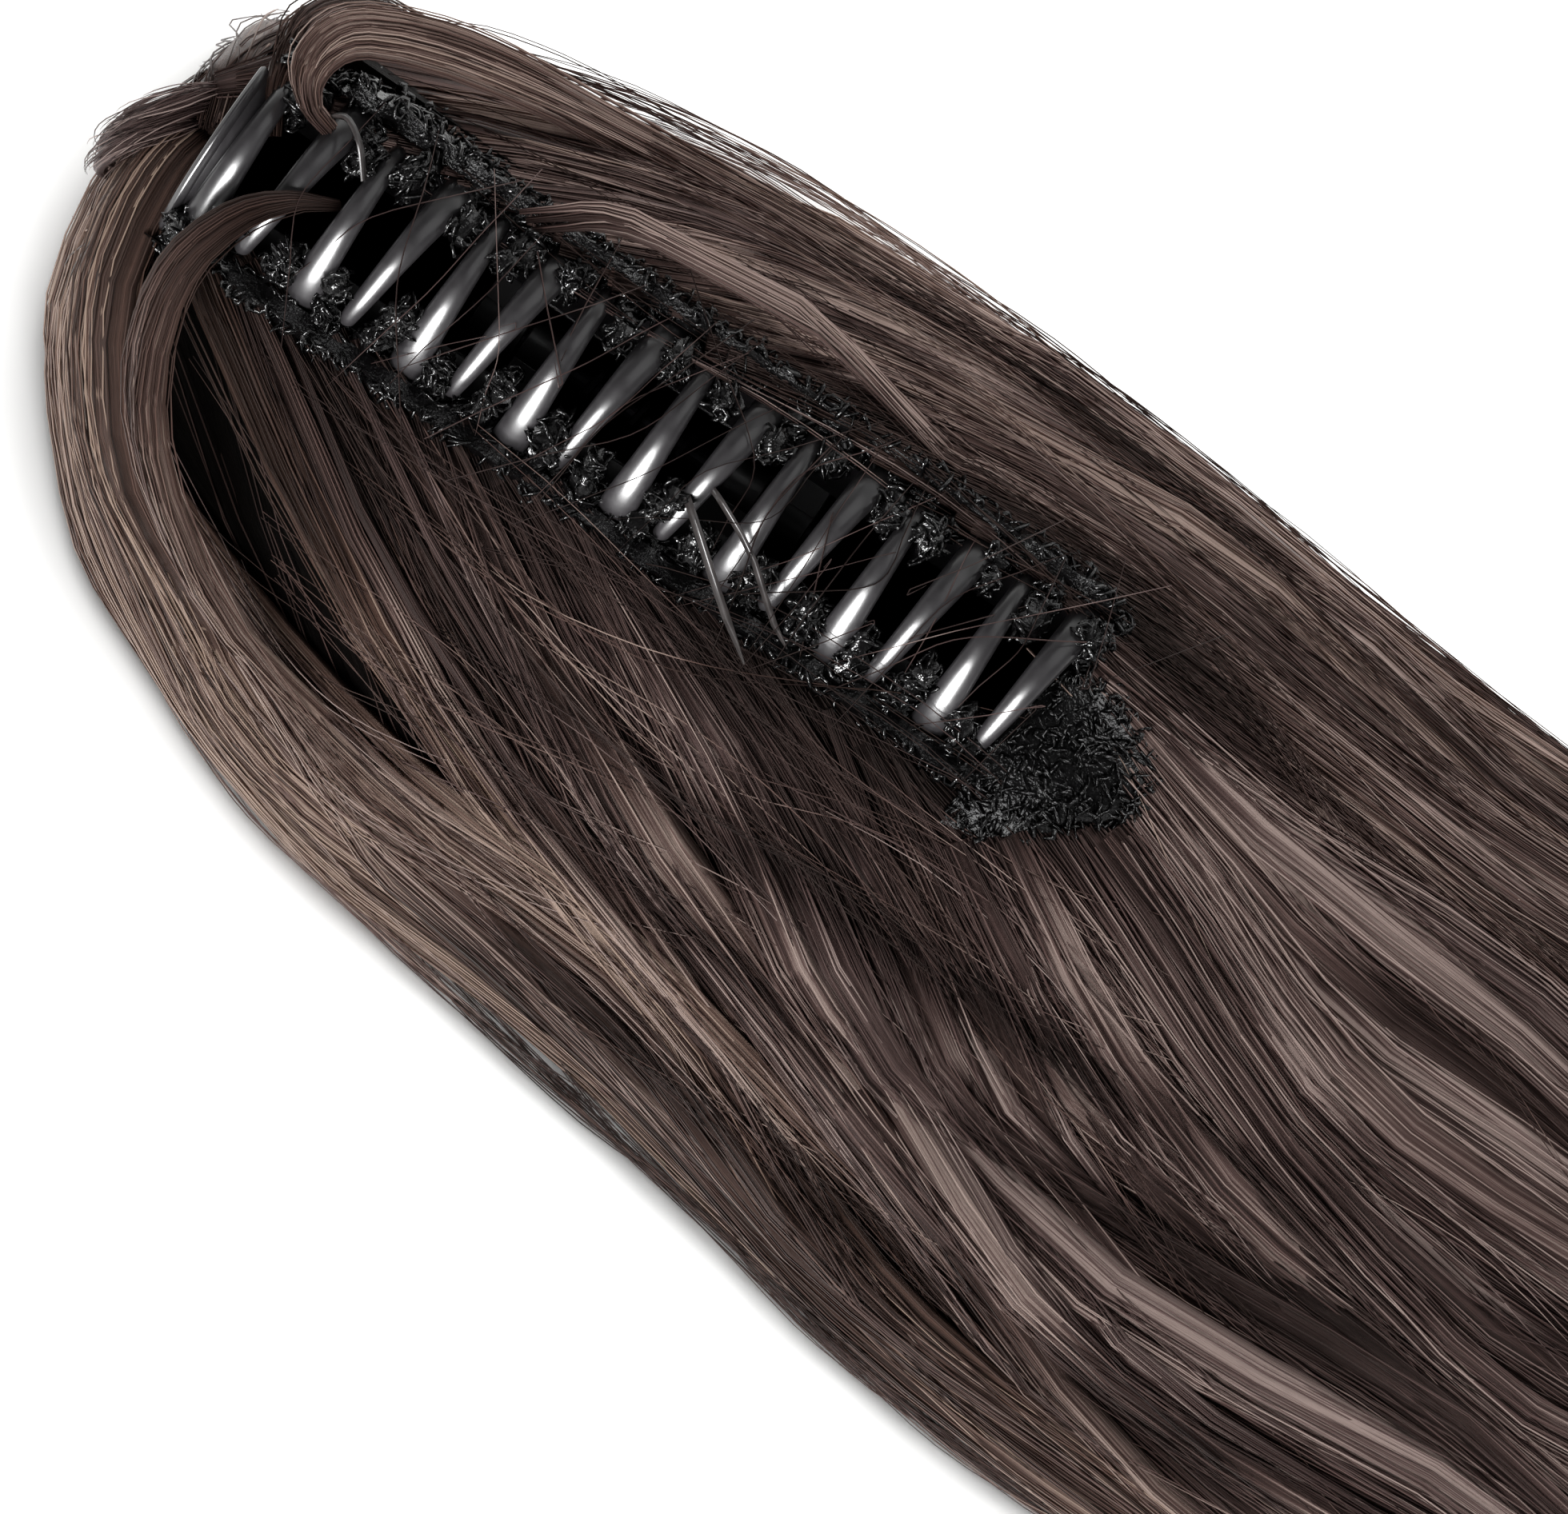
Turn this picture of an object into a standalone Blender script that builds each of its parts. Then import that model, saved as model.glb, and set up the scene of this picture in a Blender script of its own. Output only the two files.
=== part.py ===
"""Claw-clip ponytail hairpiece, lying mouth up.

X runs across the claw, Y along its hinge towards the crown end, and Z up from the surface it lies on.
"""

import math
from collections import namedtuple

import bmesh
import bpy
from mathutils import Vector

MM = 0.001
GAP = 0.3 * MM

# The design is drawn round the claw's centre, then moved so that its footprint is centred.
FOOTPRINT_CENTRE = Vector((-11.95 * MM, -122.7 * MM, 0.0))

# Claw: two jaws of curved ribs on one hinge, which lies under the mouth.
HINGE_Z = 20.0 * MM
RIB_PITCH = 11.5 * MM
RIBS_PER_JAW = 8
LEFT_FIRST_RIB_Y = 43.0 * MM
RIGHT_FIRST_RIB_Y = LEFT_FIRST_RIB_Y - RIB_PITCH / 2
RIGHT_RIB_RAKE = 2.4 * MM
CLAW_HALF_WIDTH = 10.0 * MM
CLAW_HALF_DEPTH = 13.5 * MM
CLAW_CENTRE_Z = HINGE_Z + 14.0 * MM
CLAW_HALF_LENGTH = 46.2 * MM
RIB_BASE_WIDTH = 3.8 * MM
RIB_TIP_WIDTH = 1.5 * MM
RIB_BASE_THICKNESS = 2.2 * MM
RIB_TIP_THICKNESS = 1.5 * MM
RIB_ROOT_ANGLE = math.radians(58)
RIB_TAPER_ANGLE = math.radians(115)
RIB_TIP_ANGLE = math.radians(234)
RIB_SECTIONS = 13
RIB_SIDES = 8
PLATE_LOW_ANGLE = math.radians(28)
PLATE_HIGH_ANGLE = math.radians(70)
PLATE_THICKNESS = 2.0 * MM
PLATE_SECTIONS = 7

# Hinge: knuckles on a steel pin, a coil spring between them, and a thumb lever on each jaw.
PIN_RADIUS = 1.2 * MM
BORE_RADIUS = 1.3 * MM
KNUCKLE_RADIUS = 3.0 * MM
KNUCKLE_LENGTH = 5.0 * MM
INNER_KNUCKLE_Y = 10.5 * MM
OUTER_KNUCKLE_Y = INNER_KNUCKLE_Y + KNUCKLE_LENGTH + GAP
PIN_HALF_LENGTH = 19.0 * MM
WIRE_DIAMETER = 0.9 * MM
COIL_RADIUS = PIN_RADIUS + GAP + WIRE_DIAMETER / 2
COIL_HALF_LENGTH = 6.0 * MM
COIL_TURNS = 7
COIL_POINTS_PER_TURN = 10
LEVER_TILT = math.radians(22)
LEVER_LENGTH = 18.0 * MM
LEVER_THICKNESS = 2.0 * MM
LEVER_ROOT = (4.9 * MM, 2.4 * MM)
LEVER_HALF_WIDTHS = (
    (0.0, 18.0 * MM), (0.45, 17.0 * MM), (0.75, 14.5 * MM), (0.92, 10.0 * MM), (1.0, 4.0 * MM),
)
WEB_BELOW_PIN = 1.0 * MM
WEB_ABOVE_PIN = 2.6 * MM
WEB_INTO_LEVER = 0.6 * MM
SPRING_LEG_REACH = 11.4 * MM

# Weft: the black knotted band that is sewn round the outside of each jaw and carries the hair.
WEFT_THICKNESS = 1.8 * MM
WEFT_BEAD = 0.8 * MM
WEFT_LOW_ANGLE = math.radians(52)
WEFT_HIGH_ANGLE = math.radians(127)
WEFT_SECTIONS = 9
WEFT_HALF_LENGTH = 46.5 * MM
WEFT_THIN_SHARE = 0.35
WEFT_THIN_FROM_Y = 38.0 * MM
WEFT_THIN_BY_Y = 42.5 * MM
RIB_OUTER_OFFSET = RIB_BASE_THICKNESS / 2
WEFT_OUTER_OFFSET = RIB_OUTER_OFFSET + GAP + WEFT_THICKNESS

# Hair: one row for each section across the length, from the crown end to the tips.
Section = namedtuple("Section", "y left right crest height")
HAIR_SECTIONS = [
    Section(*(value * MM for value in row))
    for row in (
        (55, -12, -2, -6, 20),
        (53, -17.5, 4, -4, 30),
        (49.5, -25, 11, -2, 37),
        (45, -30.5, 16, 0, 41.5),
        (39, -36, 19.5, 0, 44),
        (28, -42.5, 22.5, 0, 45),
        (12, -48.5, 25.3, 0, 45.5),
        (-5, -51.5, 26.7, 0, 45.5),
        (-25, -54, 26.7, 0, 45.5),
        (-48, -57, 25.5, -2, 44.5),
        (-64, -60, 24, -6, 41),
        (-90, -61.5, 22.3, -13, 37),
        (-125, -60, 24, -17, 33),
        (-160, -52, 32, -11, 30),
        (-195, -40, 38.5, -2, 27),
        (-230, -31, 37.5, 2, 21.5),
        (-250, -28, 34.5, 2, 15.5),
        (-268, -25, 29.5, 2, 10),
        (-302, -15, 11, -2, 6.5),
    )
]
LEFT_BULGE = 1.75
RIGHT_BULGE = 2.3
BACKING_END_Y = -268 * MM
EDGE_HEIGHT = 5.0 * MM
EDGE_TUCK = 4.0 * MM
BACKING_INSET = 2.0 * MM
HALF_CLEARANCE = 0.25 * MM

# Where the three bodies of hair part.
TAIL_START_Y = -50.3 * MM
CAVITY_TOP_Y = CLAW_HALF_LENGTH + 0.9 * MM
PARTING_LEVER_HALF = 14.4 * MM
PARTING_FLOOR_HALF = 9.2 * MM
LEVER_END_Z = 3.6 * MM
LEVER_CORNER_Z = 7.6 * MM

# Locks: where each leaves the weft, the angle round the section it settles at, and its width.
FlankLock = namedtuple("FlankLock", "start_y start_angle end_angle width")
LEFT_LOCKS = (
    FlankLock(52, -52, -84, 12),
    FlankLock(47, -26, -70, 12),
    FlankLock(33, -20, -57, 12),
    FlankLock(15, -20, -44, 12),
    FlankLock(-4, -20, -32, 11),
    FlankLock(-24, -20, -22, 8),
)
RIGHT_LOCKS = (
    FlankLock(48, 38, 80, 10),
    FlankLock(43, 28, 60, 9),
    FlankLock(24, 28, 44, 8),
)
TailLock = namedtuple("TailLock", "angle drift end_y width")
TAIL_LOCKS = (
    TailLock(-84, 12, -276, 13),
    TailLock(-70, 4, -292, 14),
    TailLock(-56, -6, -281, 13),
    TailLock(-42, 8, -298, 14),
    TailLock(-27, -5, -286, 14),
    TailLock(-12, 6, -301, 15),
    TailLock(4, -6, -290, 15),
    TailLock(20, 5, -299, 14),
    TailLock(37, -4, -283, 13),
    TailLock(55, 6, -294, 12),
    TailLock(74, -8, -278, 12),
)
LOCK_THICKNESS = 6.2 * MM
LOCK_SINK = LOCK_THICKNESS / 2
LOCK_SIDES = 6
FLANK_STATIONS = 8
TAIL_STATIONS = 11
STATION_STEP_ANGLE = 3.0
STATION_STEP_Y = 4.0 * MM
LOCK_TIP_SHARE = 0.06
TIP_START_SHARE = 0.72
TIP_FLOOR_GAP = 0.1 * MM

CrownLoop = namedtuple("CrownLoop", "x y z width")
CROWN_TUFT = [
    CrownLoop(*(value * MM for value in row))
    for row in (
        (-3, 46, 31, 7), (-7, 50, 33.5, 9), (-11.5, 52.6, 30, 9), (-14.5, 51, 23, 7), (-15, 47, 18, 5),
    )
]

PATCH_SECTIONS = (
    # y, centre x, half-width, height of the top
    (-46.9, 0.0, 10.3, 45.0),
    (-51.0, -1.0, 9.0, 45.6),
    (-56.0, -3.0, 6.6, 45.0),
    (-61.5, -5.0, 2.4, 43.4),
)
PATCH_THICKNESS = 3.0 * MM

BLACK_PLASTIC = ("black_plastic", (0.012, 0.012, 0.013), 0.16, 0.0)
STEEL = ("steel", (0.42, 0.42, 0.44), 0.3, 1.0)
BLACK_WEFT = ("black_weft", (0.010, 0.009, 0.009), 0.75, 0.0)
BROWN_HAIR = ("brown_hair", (0.052, 0.034, 0.028), 0.42, 0.0)


def clear_scene():
    for old in list(bpy.data.objects):
        bpy.data.objects.remove(old)


def make_collection(name):
    made = bpy.data.collections.new(name)
    bpy.context.scene.collection.children.link(made)
    return made


def material(name, colour, roughness, metallic):
    made = bpy.data.materials.get(name)
    if made:
        return made
    made = bpy.data.materials.new(name)
    made.use_nodes = True
    shader = made.node_tree.nodes["Principled BSDF"]
    shader.inputs["Base Color"].default_value = (*colour, 1.0)
    shader.inputs["Roughness"].default_value = roughness
    shader.inputs["Metallic"].default_value = metallic
    return made


def empty(name, location, parent=None):
    made = bpy.data.objects.new(name, None)
    made.location = location
    made.parent = parent
    bpy.context.scene.collection.objects.link(made)
    return made


def parent_to_empties(collections, moving):
    """Carries the design on one empty, and what moves with the right jaw on a second, at the hinge."""
    footprint = empty("footprint", -FOOTPRINT_CENTRE)
    hinge_axis = empty("hinge_axis", Vector((0.0, 0.0, HINGE_Z)), footprint)
    for collection in collections:
        for made in collection.objects:
            if made.name in moving:
                made.parent = hinge_axis
                made.location = -hinge_axis.location
            else:
                made.parent = footprint


def add_object(name, mesh, finish, collection, sharp_angle=40):
    if finish:
        mesh.materials.clear()
        mesh.materials.append(material(*finish))
    mesh.shade_smooth()
    mesh.set_sharp_from_angle(angle=math.radians(sharp_angle))
    made = bpy.data.objects.new(name, mesh)
    collection.objects.link(made)
    return made


def loft(rings):
    """A closed mesh through rings of equally many points, with a cap at each end."""
    shape = bmesh.new()
    loops = [[shape.verts.new(point) for point in ring] for ring in rings]
    for one, other in zip(loops, loops[1:]):
        for i in range(len(one)):
            j = (i + 1) % len(one)
            shape.faces.new((one[i], one[j], other[j], other[i]))
    shape.faces.new(loops[0][::-1])
    shape.faces.new(loops[-1])
    bmesh.ops.recalc_face_normals(shape, faces=shape.faces)
    return shape


def mesh_from(shapes, name):
    """One mesh of several shapes, which may overlap."""
    mesh = bpy.data.meshes.new(name)
    joined = bmesh.new()
    for shape in shapes:
        part = bpy.data.meshes.new("part")
        shape.to_mesh(part)
        shape.free()
        joined.from_mesh(part)
        bpy.data.meshes.remove(part)
    joined.to_mesh(mesh)
    joined.free()
    return mesh


def cylinder_along_y(radius, length, centre_y, sides):
    shape = bmesh.new()
    bmesh.ops.create_cone(
        shape, cap_ends=True, segments=sides, radius1=radius, radius2=radius, depth=length
    )
    for vert in shape.verts:
        x, y, z = vert.co
        vert.co = (x, centre_y + z, HINGE_Z - y)
    bmesh.ops.recalc_face_normals(shape, faces=shape.faces)
    return shape


def box(low, high):
    shape = bmesh.new()
    bmesh.ops.create_cube(shape, size=1.0)
    for vert in shape.verts:
        vert.co = [
            (a + b) / 2 + (b - a) * value for a, b, value in zip(low, high, vert.co)
        ]
    return shape


def boolean(target, operation, tool, self_touching=False):
    step = target.modifiers.new(operation.lower(), "BOOLEAN")
    step.operation = operation
    step.object = tool
    step.use_self = self_touching
    step.solver = "EXACT"


def hide_tool(tool):
    tool.hide_render = True
    tool.display_type = "WIRE"
    return tool


def claw_point(side, angle, offset=0.0):
    """A point across the closed claw; the angle runs from the hinge round that jaw's side to the mouth."""
    return Vector((
        side * (CLAW_HALF_WIDTH + offset) * math.sin(angle),
        0.0,
        CLAW_CENTRE_Z - (CLAW_HALF_DEPTH + offset) * math.cos(angle),
    ))


def claw_normal(side, angle):
    return Vector((
        side * math.sin(angle) / CLAW_HALF_WIDTH,
        0.0,
        -math.cos(angle) / CLAW_HALF_DEPTH,
    )).normalized()


def rib(side, y, rake):
    """A curved rib that tapers from its jaw over the mouth to a blunt tip between the other jaw's ribs."""
    rings = []
    for i in range(RIB_SECTIONS):
        share = i / (RIB_SECTIONS - 1)
        angle = RIB_ROOT_ANGLE + (RIB_TIP_ANGLE - RIB_ROOT_ANGLE) * share
        taper = max(0.0, (angle - RIB_TAPER_ANGLE) / (RIB_TIP_ANGLE - RIB_TAPER_ANGLE))
        width = RIB_BASE_WIDTH + (RIB_TIP_WIDTH - RIB_BASE_WIDTH) * taper
        thickness = RIB_BASE_THICKNESS + (RIB_TIP_THICKNESS - RIB_BASE_THICKNESS) * taper
        centre = claw_point(side, angle)
        centre.y = y + rake * (taper - 0.5)
        normal = claw_normal(side, angle)
        ring = []
        for k in range(RIB_SIDES):
            turn = 2 * math.pi * (k + 0.5) / RIB_SIDES
            across = math.cos(turn) * width / 2 / math.cos(math.pi / RIB_SIDES)
            out = math.sin(turn) * thickness / 2 / math.cos(math.pi / RIB_SIDES)
            ring.append(centre + normal * out + Vector((0.0, across, 0.0)))
        rings.append(ring)
    return loft(rings)


def arc_band(side, low, high, inner, outer, sections, places):
    """A curved wall that follows the claw's section, through places of (y, share of its thickness)."""
    rings = []
    for y, thickness_share in places:
        outline = []
        for i in range(sections):
            share = i / (sections - 1)
            offset = inner + (outer(share) - inner) * thickness_share
            outline.append(claw_point(side, low + (high - low) * share, offset))
        for i in reversed(range(sections)):
            outline.append(claw_point(side, low + (high - low) * i / (sections - 1), inner))
        rings.append([Vector((p.x, y, p.z)) for p in outline])
    return loft(rings)


def lever(side):
    """A thumb lever: a flat tab from the plate's lower edge, down and outward, with a round end."""
    along = Vector((side * math.sin(LEVER_TILT), 0.0, -math.cos(LEVER_TILT)))
    across = Vector((math.cos(LEVER_TILT), 0.0, side * math.sin(LEVER_TILT)))
    root = Vector((side * LEVER_ROOT[0], 0.0, HINGE_Z + LEVER_ROOT[1]))
    rings = []
    corners = ((-1, -1), (1, -1), (1, 1), (-1, 1))
    for share, half_width in LEVER_HALF_WIDTHS:
        centre = root + along * LEVER_LENGTH * share
        rings.append([
            centre + across * (u * LEVER_THICKNESS / 2) + Vector((0.0, v * half_width, 0.0))
            for u, v in corners
        ])
    return loft(rings)


def jaw(name, side, first_rib_y, rake, knuckle_y, collection, tools):
    """One jaw: a curved plate with its ribs, two knuckles on the pin and a thumb lever, moulded as one."""
    plate = add_object(
        name,
        mesh_from(
            [arc_band(
                side, PLATE_LOW_ANGLE, PLATE_HIGH_ANGLE, -PLATE_THICKNESS / 2,
                lambda share: PLATE_THICKNESS / 2, PLATE_SECTIONS,
                ((-CLAW_HALF_LENGTH, 1.0), (CLAW_HALF_LENGTH, 1.0)),
            )],
            name,
        ),
        BLACK_PLASTIC,
        collection,
    )
    shapes = [rib(side, first_rib_y - i * RIB_PITCH, rake) for i in range(RIBS_PER_JAW)]
    for y in (-knuckle_y, knuckle_y):
        shapes.append(cylinder_along_y(KNUCKLE_RADIUS, KNUCKLE_LENGTH, y, 20))
        web_reach = side * (LEVER_ROOT[0] + WEB_INTO_LEVER)
        shapes.append(box(
            (min(0.0, web_reach), y - KNUCKLE_LENGTH / 2, HINGE_Z - WEB_BELOW_PIN),
            (max(0.0, web_reach), y + KNUCKLE_LENGTH / 2, HINGE_Z + WEB_ABOVE_PIN),
        ))
    shapes.append(lever(side))
    moulded = hide_tool(add_object(name + "_ribs", mesh_from(shapes, name + "_ribs"), BLACK_PLASTIC, tools))
    boolean(plate, "UNION", moulded, self_touching=True)
    bore = hide_tool(add_object(
        name + "_bore",
        mesh_from([cylinder_along_y(BORE_RADIUS, 4 * PIN_HALF_LENGTH, 0.0, 20)], name + "_bore"),
        BLACK_PLASTIC,
        tools,
    ))
    boolean(plate, "DIFFERENCE", bore)
    return plate


def hinge_pin(collection):
    shape = cylinder_along_y(PIN_RADIUS, 2 * PIN_HALF_LENGTH, 0.0, 16)
    return add_object("hinge_pin", mesh_from([shape], "hinge_pin"), STEEL, collection)


def hinge_spring(collection):
    """A coil round the pin, with one leg that bears on the inside of the left lever."""
    points = []
    count = COIL_TURNS * COIL_POINTS_PER_TURN
    for i in range(count + 1):
        turn = math.pi + 2 * math.pi * i / COIL_POINTS_PER_TURN
        y = -COIL_HALF_LENGTH + 2 * COIL_HALF_LENGTH * i / count
        points.append(Vector((
            COIL_RADIUS * math.cos(turn), y, HINGE_Z + COIL_RADIUS * math.sin(turn)
        )))
    root = Vector((-LEVER_ROOT[0], 0.0, HINGE_Z + LEVER_ROOT[1]))
    along = Vector((-math.sin(LEVER_TILT), 0.0, -math.cos(LEVER_TILT)))
    inward = Vector((math.cos(LEVER_TILT), 0.0, -math.sin(LEVER_TILT)))
    stand_off = LEVER_THICKNESS / 2 + WIRE_DIAMETER / 2 + GAP
    end = root + along * SPRING_LEG_REACH + inward * stand_off
    end.y = -COIL_HALF_LENGTH
    points.insert(0, end)
    curve = bpy.data.curves.new("hinge_spring", "CURVE")
    curve.dimensions = "3D"
    curve.bevel_depth = WIRE_DIAMETER / 2
    curve.bevel_resolution = 1
    curve.use_fill_caps = True
    spline = curve.splines.new("POLY")
    spline.points.add(len(points) - 1)
    for target, point in zip(spline.points, points):
        target.co = (*point, 1.0)
    curve.materials.append(material(*STEEL))
    made = bpy.data.objects.new("hinge_spring", curve)
    collection.objects.link(made)
    return made


def weft_band(name, side, collection):
    """The sewn band on one jaw, with its knotted bead along the mouth."""
    inner = RIB_OUTER_OFFSET + GAP

    def outer(share):
        return WEFT_OUTER_OFFSET + WEFT_BEAD * max(0.0, (share - 0.8) / 0.2)

    places = (
        (-WEFT_HALF_LENGTH, 1.0), (WEFT_THIN_FROM_Y, 1.0),
        (WEFT_THIN_BY_Y, WEFT_THIN_SHARE), (WEFT_HALF_LENGTH, WEFT_THIN_SHARE),
    )
    shape = arc_band(side, WEFT_LOW_ANGLE, WEFT_HIGH_ANGLE, inner, outer, WEFT_SECTIONS, places)
    return add_object(name, mesh_from([shape], name), BLACK_WEFT, collection)


def patch_shape(margin):
    """The knotted patch that closes the weft below the claw, grown by a margin where it is used to cut."""
    rings = []
    last = len(PATCH_SECTIONS) - 1
    for i, (y, centre, half, top) in enumerate(PATCH_SECTIONS):
        y = y * MM + (margin if i == 0 else 0.0) - (margin if i == last else 0.0)
        half = half * MM + margin
        low = top * MM - PATCH_THICKNESS - margin
        high = top * MM + margin
        centre = centre * MM
        rings.append([
            Vector((centre + u * half, y, low if v < 0 else low + (high - low) * v))
            for u, v in ((-0.85, -1), (0.85, -1), (1, 0.5), (0.72, 0.9), (0, 1), (-0.72, 0.9), (-1, 0.5))
        ])
    return loft(rings)


def section_at(y):
    """The hair's section at y, read smoothly between the rows of the table."""
    rows = HAIR_SECTIONS
    y = min(max(y, rows[-1].y), rows[0].y)
    i = next(k for k in range(len(rows) - 1) if y >= rows[k + 1].y)
    before, one, other, after = (
        rows[max(i - 1, 0)], rows[i], rows[i + 1], rows[min(i + 2, len(rows) - 1)]
    )
    span = other.y - one.y
    share = (y - one.y) / span

    def smooth(column):
        a, b, c, d = (getattr(row, column) for row in (before, one, other, after))
        slope_one = (c - a) / (other.y - before.y) * span
        slope_other = (d - b) / (after.y - one.y) * span
        s, s2, s3 = share, share**2, share**3
        return (
            b * (2 * s3 - 3 * s2 + 1) + slope_one * (s3 - 2 * s2 + s)
            + c * (3 * s2 - 2 * s3) + slope_other * (s3 - s2)
        )

    return Section(y, *(smooth(column) for column in ("left", "right", "crest", "height")))


def hair_point(y, angle, inset=0.0):
    """A point on the hair's outside: angle 0 is the crest, -90 degrees the left edge, 90 the right."""
    row = section_at(y)
    side, reach, bulge = (
        (-1, row.crest - row.left, LEFT_BULGE) if angle < 0 else (1, row.right - row.crest, RIGHT_BULGE)
    )
    reach = max(reach - inset, 0.5 * MM)
    rise = max(row.height - EDGE_HEIGHT - inset, 0.5 * MM)
    turn = abs(math.radians(angle))
    return Vector((
        row.crest + side * reach * math.sin(turn) ** (2 / bulge),
        y,
        EDGE_HEIGHT + rise * max(math.cos(turn), 0.0) ** (2 / bulge),
    ))


def hair_ring(y):
    """One section of the backing: the outline over the top, tucked in where it meets the surface below."""
    angles = (-90, -78, -64, -50, -36, -22, -8, 8, 22, 36, 50, 64, 78, 90)
    top = [hair_point(y, angle, BACKING_INSET) for angle in angles]
    left, right = top[0].x, top[-1].x
    tuck = min(EDGE_TUCK, (right - left) * 0.2)
    return top + [Vector((right - tuck, y, 0.0)), Vector((left + tuck, y, 0.0))]


def hair_backing():
    return loft([hair_ring(row.y) for row in HAIR_SECTIONS if row.y >= BACKING_END_Y])


def lock(stations):
    """A flattened lock through stations of (centre, outward normal, width, thickness)."""
    rings = []
    for i, (centre, normal, width, thickness) in enumerate(stations):
        ahead = stations[min(i + 1, len(stations) - 1)][0] - stations[max(i - 1, 0)][0]
        across = ahead.cross(normal).normalized()
        out = across.cross(ahead).normalized()
        rings.append([
            centre
            + across * math.cos(2 * math.pi * k / LOCK_SIDES) * width / 2
            + out * math.sin(2 * math.pi * k / LOCK_SIDES) * thickness / 2
            for k in range(LOCK_SIDES)
        ])
    return loft(rings)


def station(y, angle, width, thickness):
    """A lock's station on the hair's outside, with the direction that faces out there."""
    centre = hair_point(y, angle, LOCK_SINK)
    step = STATION_STEP_ANGLE * (1 if angle < 0 else -1)
    beside = hair_point(y, angle + step, LOCK_SINK) - centre
    ahead = hair_point(y - STATION_STEP_Y, angle, LOCK_SINK) - centre
    normal = ahead.cross(beside) * (1 if step > 0 else -1)
    return centre, normal.normalized(), width, thickness


def flank_lock(row, end_y):
    """A lock that leaves the weft beside the claw and turns down its flank towards the tail."""
    start_y = row.start_y * MM
    stations = []
    for i in range(FLANK_STATIONS):
        share = i / (FLANK_STATIONS - 1)
        turned = 1 - (1 - share) ** 2
        swell = min(1.0, 0.45 + 2.2 * share)
        stations.append(station(
            start_y + (end_y - start_y) * share,
            row.start_angle + (row.end_angle - row.start_angle) * turned,
            row.width * MM * swell,
            LOCK_THICKNESS * swell,
        ))
    return lock(stations)


def tail_lock(row, start_y):
    """A lock of the tail, which narrows to its own tip."""
    stations = []
    end_y = row.end_y * MM
    for i in range(TAIL_STATIONS):
        share = 1 - (1 - i / (TAIL_STATIONS - 1)) ** 1.4
        y = start_y + (end_y - start_y) * share
        tip_share = max(0.0, (share - TIP_START_SHARE) / (1 - TIP_START_SHARE))
        narrowing = max(LOCK_TIP_SHARE, 1 - tip_share**2)
        angle = row.angle + row.drift * math.sin(math.pi * share)
        centre, normal, width, thickness = station(
            y, angle, row.width * MM * narrowing, LOCK_THICKNESS * (0.35 + 0.65 * narrowing)
        )
        resting_z = thickness / 2 + TIP_FLOOR_GAP
        centre.z = max(centre.z + (resting_z - centre.z) * tip_share**2, resting_z)
        stations.append((centre, normal, width, thickness))
    return lock(stations)


def crown_tuft():
    stations = [
        (Vector((row.x, row.y, row.z)), Vector((0.2, 0.5, 1.0)), row.width, row.width * 0.6)
        for row in CROWN_TUFT
    ]
    return lock(stations)


def cavity_ring(y, reach):
    """One section of the room for the claw, its wefts and levers, open at the mouth and the parting."""
    right = [
        Vector((PARTING_FLOOR_HALF, 0.0, -10 * MM)),
        Vector((PARTING_FLOOR_HALF, 0.0, LEVER_END_Z)),
        Vector((PARTING_LEVER_HALF, 0.0, LEVER_END_Z)),
        Vector((PARTING_LEVER_HALF, 0.0, LEVER_CORNER_Z)),
    ]
    right += [claw_point(1, math.radians(a), reach) for a in (38, 50, 64, 80, 96, 110)]
    rim = claw_point(1, WEFT_HIGH_ANGLE, reach + WEFT_BEAD)
    right += [rim, Vector((rim.x, 0.0, 70 * MM))]
    left = [Vector((-p.x, 0.0, p.z)) for p in reversed(right)]
    return [Vector((p.x, y, p.z)) for p in right + left]


def claw_cavity():
    wide = WEFT_OUTER_OFFSET + GAP
    narrow = RIB_OUTER_OFFSET + GAP + WEFT_THICKNESS * WEFT_THIN_SHARE + GAP
    return loft([
        cavity_ring(TAIL_START_Y - 5 * MM, wide), cavity_ring(WEFT_THIN_FROM_Y + GAP, wide),
        cavity_ring(WEFT_THIN_BY_Y + GAP, narrow), cavity_ring(CAVITY_TOP_Y, narrow),
    ])


def parting_wedge():
    """The parting under the hinge, where the fingers reach the levers."""
    outline = [
        Vector((-PARTING_FLOOR_HALF, 0.0, -10 * MM)),
        Vector((PARTING_FLOOR_HALF, 0.0, -10 * MM)),
        Vector((PARTING_FLOOR_HALF, 0.0, 0.0)),
        Vector((0.6 * MM, 0.0, HINGE_Z + 2 * MM)),
        Vector((-0.6 * MM, 0.0, HINGE_Z + 2 * MM)),
        Vector((-PARTING_FLOOR_HALF, 0.0, 0.0)),
    ]
    return loft([
        [Vector((p.x, y, p.z)) for p in outline] for y in (TAIL_START_Y - 5 * MM, CAVITY_TOP_Y)
    ])


def hair_body(name, locks, cutters, collection, tools):
    """Locks fused to the backing, then trimmed to the side or stretch that this body covers."""
    body = add_object(name, mesh_from([hair_backing()], name), BROWN_HAIR, collection, 60)
    tresses = hide_tool(add_object(name + "_locks", mesh_from(locks, name + "_locks"), BROWN_HAIR, tools, 60))
    boolean(body, "UNION", tresses, self_touching=True)
    for i, shape in enumerate(cutters):
        label = f"{name}_cutter_{i}"
        boolean(body, "DIFFERENCE", hide_tool(add_object(label, mesh_from([shape], label), None, tools)))
    return body


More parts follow.
